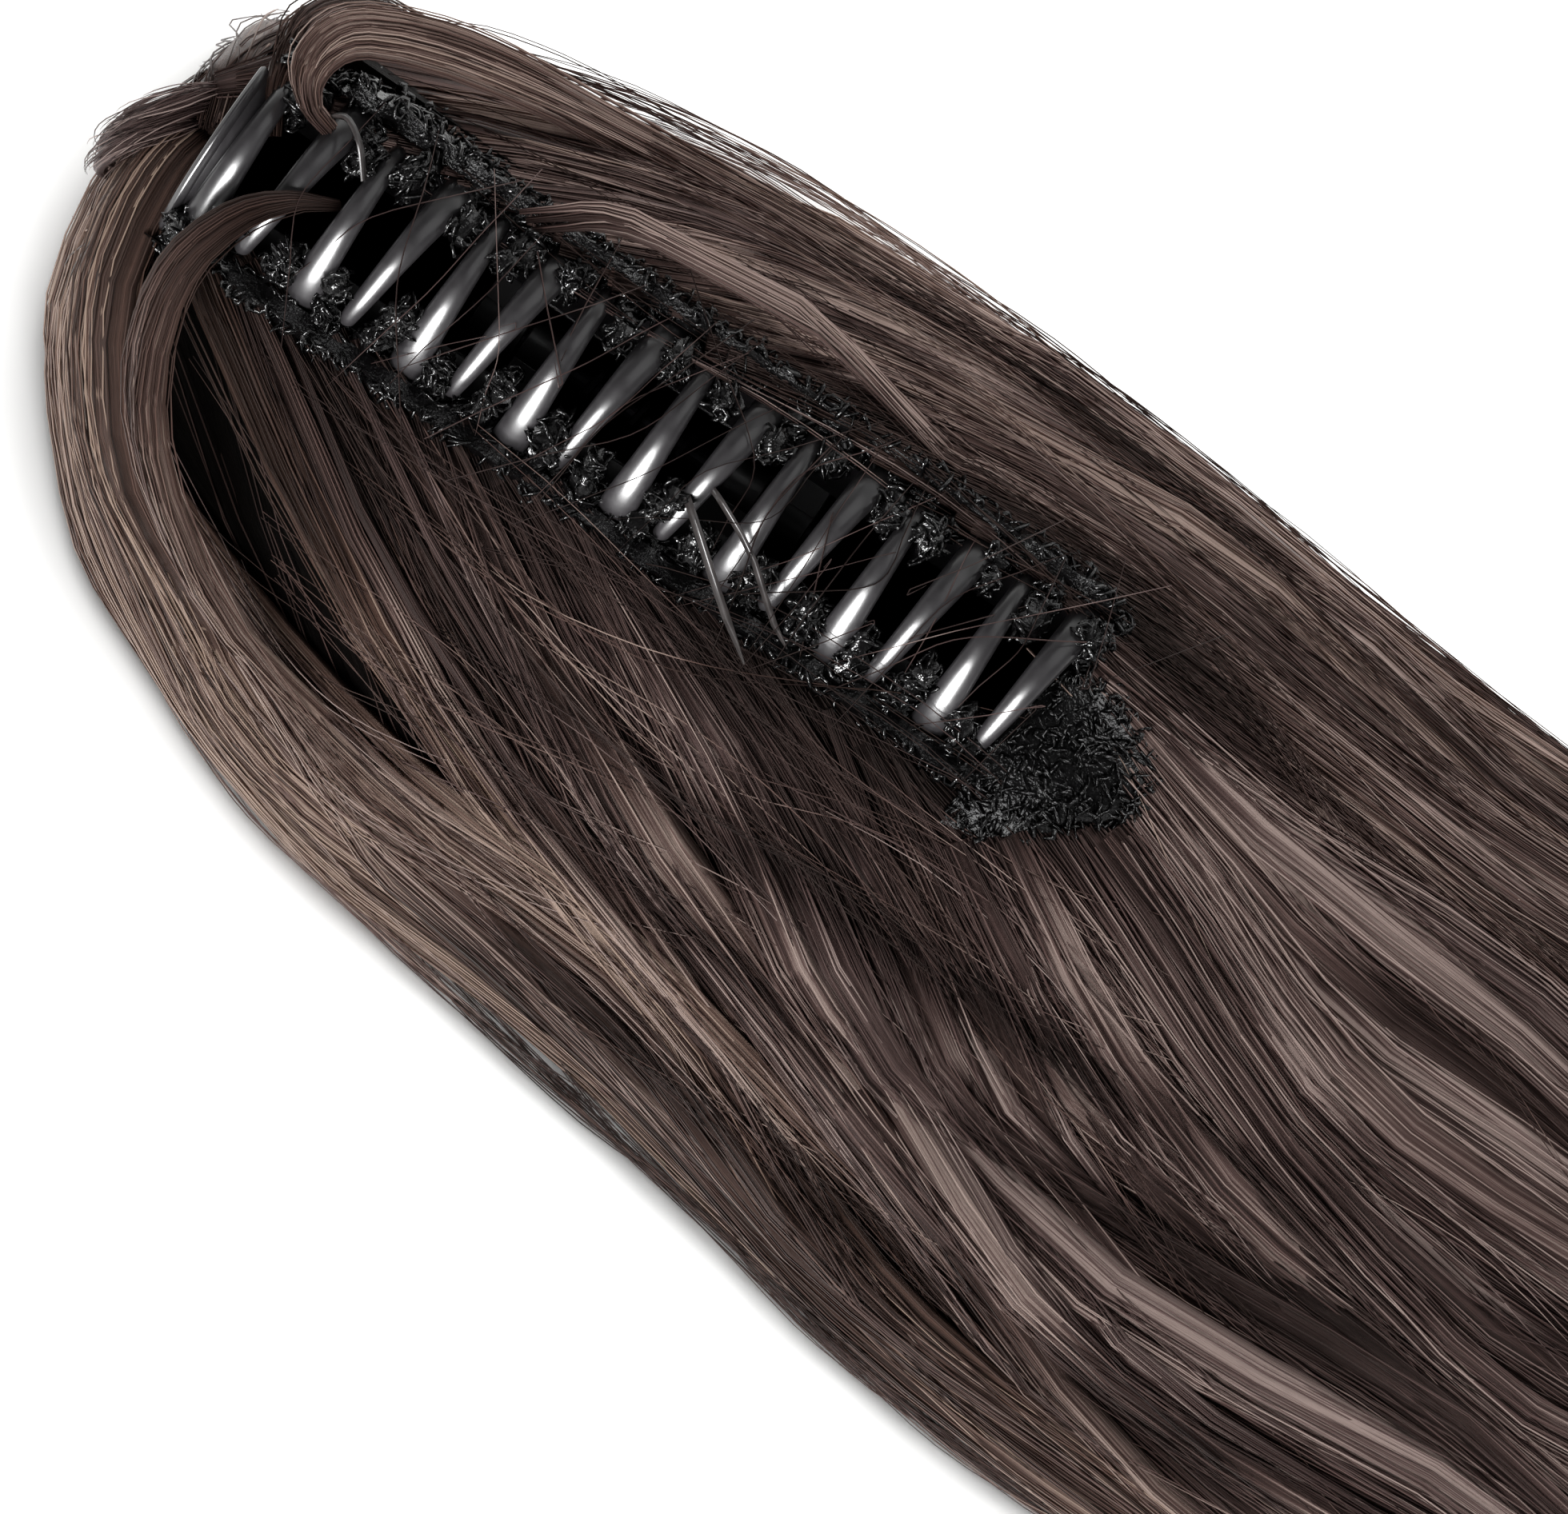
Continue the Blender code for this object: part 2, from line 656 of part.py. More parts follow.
def build():
    clear_scene()
    parts = make_collection("ponytail_hairpiece")
    tools = make_collection("cutters")
    jaw("jaw_left", -1, LEFT_FIRST_RIB_Y, 0.0, INNER_KNUCKLE_Y, parts, tools)
    jaw("jaw_right", 1, RIGHT_FIRST_RIB_Y, RIGHT_RIB_RAKE, OUTER_KNUCKLE_Y, parts, tools)
    hinge_pin(parts)
    hinge_spring(parts)
    weft_band("weft_left", -1, parts)
    weft_band("weft_right", 1, parts)
    add_object("weft_end", mesh_from([patch_shape(0.0)], "weft_end"), BLACK_WEFT, parts)

    far = 0.5
    flank_end = TAIL_START_Y + HALF_CLEARANCE
    tail_end = TAIL_START_Y - HALF_CLEARANCE
    hair_body(
        "hair_left",
        [flank_lock(row, TAIL_START_Y - 3 * MM) for row in LEFT_LOCKS] + [crown_tuft()],
        [
            claw_cavity(), parting_wedge(), patch_shape(GAP),
            box((-HALF_CLEARANCE, -far, -far), (far, CAVITY_TOP_Y, far)),
            box((-far, -far, -far), (far, flank_end, far)),
        ],
        parts, tools,
    )
    hair_body(
        "hair_right",
        [flank_lock(row, TAIL_START_Y - 3 * MM) for row in RIGHT_LOCKS],
        [
            claw_cavity(), parting_wedge(), patch_shape(GAP),
            box((-far, -far, -far), (HALF_CLEARANCE, far, far)),
            box((-far, -far, -far), (far, flank_end, far)),
            box((-far, CAVITY_TOP_Y - 2 * HALF_CLEARANCE, -far), (far, far, far)),
        ],
        parts, tools,
    )
    hair_body(
        "hair_tail",
        [tail_lock(row, TAIL_START_Y + 3 * MM) for row in TAIL_LOCKS],
        [patch_shape(GAP), box((-far, tail_end, -far), (far, far, far))],
        parts, tools,
    )
    parent_to_empties((parts, tools), ("jaw_right", "weft_right", "hair_right"))


build()
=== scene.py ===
import math
import random

import bmesh
import bpy
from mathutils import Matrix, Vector, noise


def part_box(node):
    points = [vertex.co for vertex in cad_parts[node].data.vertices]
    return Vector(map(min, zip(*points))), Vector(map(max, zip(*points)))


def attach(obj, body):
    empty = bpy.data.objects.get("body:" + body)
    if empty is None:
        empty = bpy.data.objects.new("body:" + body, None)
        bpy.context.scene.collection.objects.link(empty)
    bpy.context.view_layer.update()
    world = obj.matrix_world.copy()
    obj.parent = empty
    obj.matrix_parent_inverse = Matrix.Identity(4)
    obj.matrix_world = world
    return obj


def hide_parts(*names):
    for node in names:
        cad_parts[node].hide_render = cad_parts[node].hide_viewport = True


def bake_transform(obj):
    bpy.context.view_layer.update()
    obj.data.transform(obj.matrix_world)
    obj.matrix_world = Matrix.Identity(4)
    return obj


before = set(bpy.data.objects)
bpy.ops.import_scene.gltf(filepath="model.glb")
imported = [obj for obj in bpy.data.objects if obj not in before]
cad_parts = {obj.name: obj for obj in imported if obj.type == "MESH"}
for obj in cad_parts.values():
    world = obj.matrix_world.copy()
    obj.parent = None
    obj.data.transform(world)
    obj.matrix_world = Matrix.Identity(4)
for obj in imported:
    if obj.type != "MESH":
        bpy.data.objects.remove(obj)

# Camera. The photograph looks straight down on the hairpiece as it lies mouth up, with the claw
# running from the upper left to the lower right. Every length below is in millimetres from a point
# on the table under the middle of the hinge: X across the claw, Y towards the crown end, Z up.
MM = 0.001
PHOTO_WIDTH = 142.2
PHOTO_CENTRE = Vector((-18.07, -28.33, 45.0))
PHOTO_RIGHT = Vector((0.563, -0.826, 0.0))
LENS = 400.0
SENSOR = 36.0

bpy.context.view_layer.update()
pin_low, pin_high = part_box("hinge_pin")
ORIGIN = Vector(((pin_low.x + pin_high.x) / 2, (pin_low.y + pin_high.y) / 2, 0.0))

camera_data = bpy.data.cameras.new("product_camera")
camera_data.lens = LENS
camera_data.sensor_width = SENSOR
camera = bpy.data.objects.new("product_camera", camera_data)
camera.location = ORIGIN + (PHOTO_CENTRE + Vector((0.0, 0.0, PHOTO_WIDTH * LENS / SENSOR))) * MM
camera.rotation_euler = (0.0, 0.0, math.atan2(PHOTO_RIGHT.y, PHOTO_RIGHT.x))
bpy.context.scene.collection.objects.link(camera)
bpy.context.scene.camera = camera

# Jaws. Two black claws injection-moulded in one shot each: a curved plate, eight tapering ribs that
# cross the mouth between the other jaw's, a thumb lever below and two knuckles on the hinge.
CLAW_HALF_WIDTH = 10.0
CLAW_HALF_DEPTH = 13.5
CLAW_CENTRE_Z = 34.0
CLAW_HALF_LENGTH = 46.2
HINGE_Z = 20.0
RIB_PITCH = 11.5
RIBS_PER_JAW = 8
LEFT_FIRST_RIB_Y = 43.0
RIGHT_FIRST_RIB_Y = 37.25
LEFT_RIB_RAKE = 0.0
RIGHT_RIB_RAKE = 2.4
RIB_ROOT, RIB_TAPER, RIB_TIP = 58, 115, 234
RIB_BASE_SIZE = (3.8, 2.2)
RIB_TIP_SIZE = (1.5, 1.5)
RIB_SECTIONS = 34
RIB_SIDES = 16
PLATE_LOW, PLATE_HIGH = 28, 70
PLATE_THICKNESS = 2.0
KNUCKLE_RADIUS, BORE_RADIUS, KNUCKLE_LENGTH = 3.0, 1.3, 5.0
END_RIM = (
    ((45.0, -0.4), (45.3, 0.6), (45.8, 0.9), (46.2, 0.5), (46.1, -0.5), (45.5, -0.9)),
    ((43.0, -1.5), (45.4, 0.1), (45.4, -0.9), (43.0, -2.1)),
)
END_RIM_TIP = 222
LEVER_TILT = math.radians(22)
LEVER_LENGTH, LEVER_THICKNESS = 18.0, 2.0
LEVER_ROOT = (4.9, 2.4)
LEVER_HALF_WIDTHS = ((0.0, 18.0), (0.45, 17.0), (0.75, 14.5), (0.92, 10.0), (1.0, 4.0))


def linear(code):
    """A linear colour from an sRGB hex code."""
    shares = [int(code[i:i + 2], 16) / 255 for i in (1, 3, 5)]
    return (*[v / 12.92 if v <= 0.04045 else ((v + 0.055) / 1.055) ** 2.4 for v in shares], 1.0)


def node(tree, kind, inputs=None, **settings):
    """Adds a node, with its settings, and with each input either linked to a socket or set."""
    made = tree.nodes.new(kind)
    for name, value in settings.items():
        setattr(made, name, value)
    for key, value in (inputs or {}).items():
        if isinstance(value, bpy.types.NodeSocket):
            tree.links.new(value, made.inputs[key])
        else:
            made.inputs[key].default_value = value
    return made


def new_finish(name):
    """A new material, with its node tree and its shader."""
    made = bpy.data.materials.new(name)
    made.use_nodes = True
    return made, made.node_tree, made.node_tree.nodes["Principled BSDF"]


def feed(tree, shader, *outputs):
    """Links the colour and, where they are given, the roughness and the bump to the shader."""
    for output, socket in zip(outputs, ("Base Color", "Roughness", "Normal")):
        tree.links.new(output, shader.inputs[socket])


def start_tree(name, result, sockets):
    """A geometry node tree with its named inputs and its one result, and the sockets of its inputs."""
    made = bpy.data.node_groups.new(name, "GeometryNodeTree")
    for label, kind in sockets:
        made.interface.new_socket(label, in_out="INPUT", socket_type="NodeSocket" + kind)
    made.interface.new_socket(result, in_out="OUTPUT", socket_type="NodeSocketGeometry")
    return made, node(made, "NodeGroupInput").outputs


def end_tree(tree, shape, material):
    """Ends a tree with its copies made real and in their material."""
    real = node(tree, "GeometryNodeRealizeInstances", {0: shape})
    dressed = node(tree, "GeometryNodeSetMaterial", {0: real.outputs[0], 2: material})
    node(tree, "NodeGroupOutput", {0: dressed.outputs[0]})
    return tree


def claw_point(side, degrees, offset=0.0):
    """A point across the claw; the angle runs from the hinge round that jaw's side to the mouth."""
    angle = math.radians(degrees)
    return Vector((
        side * (CLAW_HALF_WIDTH + offset) * math.sin(angle), 0.0,
        CLAW_CENTRE_Z - (CLAW_HALF_DEPTH + offset) * math.cos(angle),
    ))


def claw_normal(side, degrees):
    angle = math.radians(degrees)
    return Vector((
        side * math.sin(angle) / CLAW_HALF_WIDTH, 0.0, -math.cos(angle) / CLAW_HALF_DEPTH,
    )).normalized()


def lofted(shape, rings):
    """A closed skin through rings of equally many points, with a cap at each end."""
    loops = [[shape.verts.new(ORIGIN + point * MM) for point in ring] for ring in rings]
    for one, other in zip(loops, loops[1:]):
        for i in range(len(one)):
            j = (i + 1) % len(one)
            shape.faces.new((one[i], one[j], other[j], other[i]))
    shape.faces.new(loops[0][::-1])
    shape.faces.new(loops[-1])


def piece_of(name, shape, material, sharp_degrees=40):
    """An object from a bmesh, with its normals outwards."""
    bmesh.ops.recalc_face_normals(shape, faces=shape.faces)
    mesh = bpy.data.meshes.new(name)
    shape.to_mesh(mesh)
    shape.free()
    mesh.shade_smooth()
    mesh.set_sharp_from_angle(angle=math.radians(sharp_degrees))
    mesh.materials.append(material)
    made = bpy.data.objects.new(name, mesh)
    bpy.context.scene.collection.objects.link(made)
    return made


def grow(made, tree, values):
    """Runs a geometry node tree on an object and keeps its result as the object's plain mesh."""
    step = made.modifiers.new(tree.name, "NODES")
    step.node_group = tree
    for item in tree.interface.items_tree:
        if item.in_out == "INPUT" and item.name in values:
            step[item.identifier] = values[item.name]
    made.update_tag()
    bpy.context.view_layer.update()
    result = bpy.data.meshes.new_from_object(made.evaluated_get(bpy.context.evaluated_depsgraph_get()))
    made.modifiers.remove(step)
    made.data = result
    return made


# Black ABS, polished in the mould: a hard clear gloss that goes from near black to bright streaks,
# with the faint ripple that a thick moulding keeps as it shrinks.
abs_plastic, tree, shader = new_finish("black_moulded_abs")
shader.inputs["IOR"].default_value = 1.53
place = node(tree, "ShaderNodeTexCoord").outputs["Object"]
ripple = node(tree, "ShaderNodeTexNoise", {"Vector": place, "Scale": 160.0, "Detail": 1.0})
grain = node(tree, "ShaderNodeTexNoise", {"Vector": place, "Scale": 900.0, "Detail": 3.0})
tone = node(tree, "ShaderNodeMix", {0: grain.outputs[0], 6: linear("#0a090a"), 7: linear("#151415")},
            data_type="RGBA")
gloss = node(tree, "ShaderNodeMapRange", {0: grain.outputs[0], 3: 0.27, 4: 0.34})
bump = node(tree, "ShaderNodeBump", {"Height": ripple.outputs[0], "Strength": 0.04, "Distance": 0.0005})
feed(tree, shader, tone.outputs[2], gloss.outputs[0], bump.outputs[0])

# The tree sets one rib out along its jaw at an even pitch.
tree, given = start_tree("ribs along a jaw", "Ribs", (
    ("Rib", "Geometry"), ("Count", "Int"), ("Pitch", "Float"), ("Plastic", "Material"),
))
back = node(tree, "ShaderNodeMath", {0: given["Pitch"], 1: -1.0}, operation="MULTIPLY")
stride = node(tree, "ShaderNodeCombineXYZ", {1: back.outputs[0]})
line = node(tree, "GeometryNodeMeshLine", {"Count": given["Count"], "Offset": stride.outputs[0]})
spread = node(tree, "GeometryNodeInstanceOnPoints", {"Points": line.outputs[0], "Instance": given["Rib"]})
ribs_tree = end_tree(tree, spread.outputs[0], given["Plastic"])

for name, side, first_y, rake, knuckle_y in (
    ("claw_jaw_left", -1, LEFT_FIRST_RIB_Y, LEFT_RIB_RAKE, 10.5),
    ("claw_jaw_right", 1, RIGHT_FIRST_RIB_Y, RIGHT_RIB_RAKE, 15.8),
):
    rib = bmesh.new()
    rings = []
    for i in range(RIB_SECTIONS + 1):
        share = i / RIB_SECTIONS
        angle = RIB_ROOT + (RIB_TIP - RIB_ROOT) * share
        taper = max(0.0, (angle - RIB_TAPER) / (RIB_TIP - RIB_TAPER))
        rounding = math.sqrt(max(0.04, 1 - max(0.0, (share - 0.97) / 0.03) ** 2))
        width, thickness = [
            (base + (tip - base) * taper) * rounding for base, tip in zip(RIB_BASE_SIZE, RIB_TIP_SIZE)
        ]
        centre = claw_point(side, angle) + Vector((0.0, first_y + rake * (taper - 0.5), 0.0))
        normal = claw_normal(side, angle)
        turns = [2 * math.pi * (k + 0.5) / RIB_SIDES for k in range(RIB_SIDES)]
        rings.append([
            centre + normal * math.sin(t) * thickness / 2 + Vector((0.0, math.cos(t) * width / 2, 0.0))
            for t in turns
        ])
    lofted(rib, rings)
    ribs = grow(piece_of(name, rib, abs_plastic, 60), ribs_tree, {
        "Count": RIBS_PER_JAW, "Pitch": RIB_PITCH * MM, "Plastic": abs_plastic,
    })

    body = bmesh.new()
    plate_angles = [PLATE_LOW + (PLATE_HIGH - PLATE_LOW) * i / 14 for i in range(15)]
    section = [claw_point(side, a, PLATE_THICKNESS / 2) for a in plate_angles]
    section += [claw_point(side, a, -PLATE_THICKNESS / 2) for a in reversed(plate_angles)]
    lofted(body, [
        [p + Vector((0.0, y, 0.0)) for p in section] for y in (-CLAW_HALF_LENGTH, CLAW_HALF_LENGTH)
    ])
    down = Vector((side * math.sin(LEVER_TILT), 0.0, -math.cos(LEVER_TILT)))
    through = Vector((math.cos(LEVER_TILT), 0.0, side * math.sin(LEVER_TILT)))
    root = Vector((side * LEVER_ROOT[0], 0.0, HINGE_Z + LEVER_ROOT[1]))
    lofted(body, [
        [
            root + down * LEVER_LENGTH * share + through * u * LEVER_THICKNESS / 2 + Vector(
                (0.0, v * half, 0.0)
            )
            for u, v in ((-1, -1), (1, -1), (1, 1), (-1, 1))
        ]
        for share, half in LEVER_HALF_WIDTHS
    ])
    if side < 0:
        rim_angles = [RIB_ROOT + (END_RIM_TIP - RIB_ROOT) * i / 40 for i in range(41)]
        for section in END_RIM:
            lofted(body, [
                [
                    claw_point(side, a, offset) + Vector((0.0, y, 0.0)) for y, offset in section
                ] for a in rim_angles
            ])
    for y in (-knuckle_y, knuckle_y):
        ends = (y - KNUCKLE_LENGTH / 2, y + KNUCKLE_LENGTH / 2)
        web = [(side * u, HINGE_Z + v) for u, v in ((1.5, -1.0), (5.5, -1.0), (5.5, 2.6), (1.5, 2.6))]
        lofted(body, [[Vector((x, end, z)) for x, z in web] for end in ends])
        wall = (
            (KNUCKLE_RADIUS, ends[0]), (KNUCKLE_RADIUS, ends[1]), (BORE_RADIUS, ends[1]),
            (BORE_RADIUS, ends[0]),
        )
        loops = []
        for k in range(24):
            turn = 2 * math.pi * k / 24
            loops.append([
                body.verts.new(ORIGIN + Vector((r * math.cos(turn), end, HINGE_Z + r * math.sin(turn))) * MM)
                for r, end in wall
            ])
        for one, other in zip(loops, loops[1:] + loops[:1]):
            for i in range(4):
                body.faces.new((one[i], one[i - 3], other[i - 3], other[i]))
    bmesh.ops.recalc_face_normals(body, faces=body.faces)
    body.from_mesh(ribs.data)
    bpy.data.objects.remove(ribs)
    jaw = piece_of(name, body, abs_plastic, 50)
    edges = jaw.modifiers.new("moulded edges", "BEVEL")
    edges.width = 0.25 * MM
    edges.segments = 2
    edges.limit_method = "ANGLE"
    edges.angle_limit = math.radians(50)
    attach(jaw, "left_half" if side < 0 else "right_half")
    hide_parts("jaw_left" if side < 0 else "jaw_right")

# Hinge pin and spring. Spring wire in a dark metal with fine streaks from drawing, its colour kept
# near black as painted shade so that it doesn't show in the mouth. Both are the imported model's own
# parts with this finish.
steel, tree, shader = new_finish("dark_spring_steel_painted_shade")
shader.inputs["Metallic"].default_value = 1.0
place = node(tree, "ShaderNodeTexCoord").outputs["Object"]
drawn = node(tree, "ShaderNodeMapping", {"Vector": place, "Scale": (6000.0, 300.0, 6000.0)})
streaks = node(tree, "ShaderNodeTexNoise", {"Vector": drawn.outputs[0], "Scale": 1.0, "Detail": 2.0})
# Painted shade: the steel's dark colours stand in for the shade in the mouth.
tone = node(tree, "ShaderNodeMix", {0: streaks.outputs[0], 6: linear("#17171a"), 7: linear("#37363a")},
            data_type="RGBA")
dull = node(tree, "ShaderNodeMapRange", {0: streaks.outputs[0], 3: 0.35, 4: 0.55})
bump = node(tree, "ShaderNodeBump", {"Height": streaks.outputs[0], "Strength": 0.1, "Distance": 0.0001})
feed(tree, shader, tone.outputs[2], dull.outputs[0], bump.outputs[0])
for name in ("hinge_pin", "hinge_spring"):
    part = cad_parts[name]
    part.data.materials.clear()
    part.data.materials.append(steel)

# Wefts. A band of black polyester thread is crocheted round the outside of each jaw, between the
# ribs and over its mouth edge, and every knot of it holds a few hairs. Loops and knots cover it.
WEFT_INNER, WEFT_OUTER, WEFT_BEAD = 1.4, 3.2, 0.8
WEFT_LOW, WEFT_HIGH = 52, 127
WEFT_FOOT_Y, WEFT_HEAD_Y = -46.5, 44.4
WEFT_THIN_SHARE = 0.35
WEFT_THIN_FROM_Y = 38
WEFT_ROUND_FROM_Y = 41.5
WEFT_ROUND_LENGTH = 5.1
THREAD_RADIUS = 0.19
LOOP_RADIUS = 0.6
LINING_ANGLES = (92, 99, 106, 113, 120)
KNOT_SPREAD = (0, 4, -3, 6, 2)
KNOT_SIZES = (0.9, 1.25, 0.7, 1.1, 0.8, 1.3, 1.0)

thread, tree, shader = new_finish("black_polyester_thread")
shader.inputs["Specular IOR Level"].default_value = 0.6
place = node(tree, "ShaderNodeTexCoord").outputs["Object"]
ply = node(tree, "ShaderNodeTexNoise", {"Vector": place, "Scale": 2600.0, "Detail": 2.0})
patches = node(tree, "ShaderNodeTexNoise", {"Vector": place, "Scale": 300.0, "Detail": 2.0})
tone = node(tree, "ShaderNodeMix", {0: patches.outputs[0], 6: linear("#030303"), 7: linear("#0a090a")},
            data_type="RGBA")
gloss = node(tree, "ShaderNodeMapRange", {0: ply.outputs[0], 3: 0.12, 4: 0.3})
bump = node(tree, "ShaderNodeBump", {"Height": ply.outputs[0], "Strength": 0.6, "Distance": 0.0002})
feed(tree, shader, tone.outputs[2], gloss.outputs[0], bump.outputs[0])

# The tree scatters open loops of thread over a band, each at its own slant and size.
tree, given = start_tree("crocheted knots on a band", "Knots", (
    ("Band", "Geometry"), ("Knots Per Square Metre", "Float"), ("Lowest", "Float"), ("Loop Radius", "Float"),
    ("Thread Radius", "Float"), ("Seed", "Int"), ("Thread", "Material"),
))
spot = node(tree, "GeometryNodeInputPosition")
parts = node(tree, "ShaderNodeSeparateXYZ", {0: spot.outputs[0]})
high = node(tree, "FunctionNodeCompare", {0: parts.outputs[2], 1: given["Lowest"]}, operation="GREATER_THAN")
facing = node(tree, "ShaderNodeSeparateXYZ", {0: node(tree, "GeometryNodeInputNormal").outputs[0]})
upward = node(tree, "FunctionNodeCompare", {0: facing.outputs[2], 1: -0.6}, operation="GREATER_THAN")
seen = node(tree, "FunctionNodeBooleanMath", {0: high.outputs[0], 1: upward.outputs[0]}, operation="AND")
spots = node(tree, "GeometryNodeDistributePointsOnFaces", {
    "Mesh": given["Band"], "Selection": seen.outputs[0], 4: given["Knots Per Square Metre"],
    "Seed": given["Seed"],
})
ring = node(tree, "GeometryNodeCurvePrimitiveCircle", {"Resolution": 6, 4: given["Loop Radius"]})
cord = node(tree, "GeometryNodeCurvePrimitiveCircle", {"Resolution": 3, 4: given["Thread Radius"]})
loop = node(tree, "GeometryNodeCurveToMesh", {"Curve": ring.outputs[0], "Profile Curve": cord.outputs[0]})
slant = node(tree, "FunctionNodeRandomValue", {
    0: (0.0, 0.0, 0.0), 1: (6.3, 6.3, 6.3), 8: given["Seed"],
}, data_type="FLOAT_VECTOR")
size = node(tree, "FunctionNodeRandomValue", {
    0: (0.6, 0.9, 0.6), 1: (1.2, 1.9, 1.6), 8: given["Seed"],
}, data_type="FLOAT_VECTOR")
spread = node(tree, "GeometryNodeInstanceOnPoints", {
    "Points": spots.outputs[0], "Instance": loop.outputs[0], "Rotation": slant.outputs[0],
    "Scale": size.outputs[0],
})
both = node(tree, "GeometryNodeJoinGeometry")
tree.links.new(spread.outputs[0], both.inputs[0])
tree.links.new(given["Band"], both.inputs[0])
soft = node(tree, "GeometryNodeSetShadeSmooth", {0: both.outputs[0]})
knots_tree = end_tree(tree, soft.outputs[0], given["Thread"])

for name, side, replaced in (("weft_band_left", -1, "weft_left"), ("weft_band_right", 1, "weft_right")):
    band = bmesh.new()
    outer_rings, inner_rings = [], []
    for i in range(94):
        y = WEFT_FOOT_Y + (WEFT_HEAD_Y - WEFT_FOOT_Y) * i / 93
        rounding = math.sqrt(max(0.02, 1 - max(0.0, (abs(y) - WEFT_ROUND_FROM_Y) / WEFT_ROUND_LENGTH) ** 2))
        full = (1.0 if y < WEFT_THIN_FROM_Y else WEFT_THIN_SHARE) * rounding
        angles = [WEFT_LOW + (WEFT_HIGH - WEFT_LOW) * k / 12 for k in range(13)]
        outside = []
        for k, a in enumerate(angles):
            bead = WEFT_BEAD * max(0.0, (k / 12 - 0.8) / 0.2)
            lump = 0.8 * noise.noise(Vector((k * 0.9, y * 0.6, side * 3.0)))
            proud = WEFT_INNER + (WEFT_OUTER - WEFT_INNER + bead) * full + lump - 0.5
            outside.append(claw_point(side, a, proud))
        inside = [claw_point(side, a, WEFT_INNER) for a in reversed(angles)]
        outer_rings.append([p + Vector((0.0, y, 0.0)) for p in outside + inside])
        strip = []
        for a in LINING_ANGLES:
            lump = 0.6 * noise.noise(Vector((a * 0.11, y * 0.45, side * 5.0)))
            strip.append(claw_point(side, a, 0.9 + lump))
        for a in reversed(LINING_ANGLES):
            strip.append(claw_point(side, a, -0.8 + 0.5 * noise.noise(Vector((a * 0.1, y * 0.5, 8.0)))))
        inner_rings.append([p + Vector((0.0, y, 0.0)) for p in strip])
    lofted(band, outer_rings)
    lofted(band, inner_rings)
    first_y = LEFT_FIRST_RIB_Y if side < 0 else RIGHT_FIRST_RIB_Y
    for i in range(8 * RIBS_PER_JAW):
        gap_y = first_y - RIB_PITCH * (i // 8) + (3.1 if i % 2 else -3.1) + KNOT_SPREAD[(i + side) % 5] * 0.15
        if gap_y > 44:
            continue
        at = claw_point(side, 119 + 9 * (i // 2 % 4) + KNOT_SPREAD[i % 5], 0.2) + Vector((0.0, gap_y, 0.0))
        size = KNOT_SIZES[(i * 3 + side) % 7]
        for vert in bmesh.ops.create_icosphere(band, subdivisions=2, radius=1.0)["verts"]:
            lump = 1 + 0.7 * noise.noise(vert.co * 1.6 + Vector((i, side, 0.0)))
            spot = Vector((vert.co.x * 1.5, vert.co.y * 1.2, vert.co.z * 1.1)) * size * lump
            vert.co = ORIGIN + (at + spot) * MM
    for k in range(5):
        at = claw_point(side, WEFT_LOW + (WEFT_HIGH - WEFT_LOW) * k / 4, 0.8)
        at += Vector((0.0, WEFT_HEAD_Y - 0.2, 0.0))
        for vert in bmesh.ops.create_icosphere(band, subdivisions=2, radius=1.0)["verts"]:
            lump = 1 + 0.7 * noise.noise(vert.co * 1.6 + Vector((k, side, 4.0)))
            vert.co = ORIGIN + (at + Vector((vert.co.x * 1.4, vert.co.y * 1.2, vert.co.z * 1.6)) * lump) * MM
    weft = grow(piece_of(name, band, thread, 60), knots_tree, {
        "Knots Per Square Metre": 760000.0, "Lowest": 37.0 * MM, "Loop Radius": LOOP_RADIUS * MM,
        "Thread Radius": THREAD_RADIUS * MM, "Seed": 4 + side, "Thread": thread,
    })
    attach(weft, "left_half" if side < 0 else "right_half")
    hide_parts(replaced)

# End patch. Below the mouth the two wefts meet in a small three-cornered net of the same thread,
# knotted thick and a little ragged, and the tail's first hairs leave from its lower edge.
PATCH_SECTIONS = (
    (-43.4, -4.2, 10.8, 44.2), (-47.0, -4.0, 10.2, 45.4), (-51.5, -3.6, 7.2, 45.4), (-55.5, -3.2, 4.2, 44.6),
    (-58.6, -3.0, 1.6, 43.2),
)
PATCH_THICKNESS = 3.0

net = bmesh.new()
rings = []
for y, centre, half, top in PATCH_SECTIONS:
    rings.append([
        Vector((centre + u * half, y, top - PATCH_THICKNESS + (PATCH_THICKNESS - 0.5) * v))
        for u, v in ((-0.85, 0), (0.85, 0), (1, 0.5), (0.72, 0.9), (0, 1), (-0.72, 0.9), (-1, 0.5))
    ])
lofted(net, rings)
patch = grow(piece_of("weft_end_patch", net, thread, 60), knots_tree, {
    "Knots Per Square Metre": 1300000.0, "Lowest": 42.0 * MM, "Loop Radius": LOOP_RADIUS * MM,
    "Thread Radius": THREAD_RADIUS * MM,
    "Seed": 11, "Thread": thread,
})
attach(patch, "left_half")
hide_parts("weft_end")
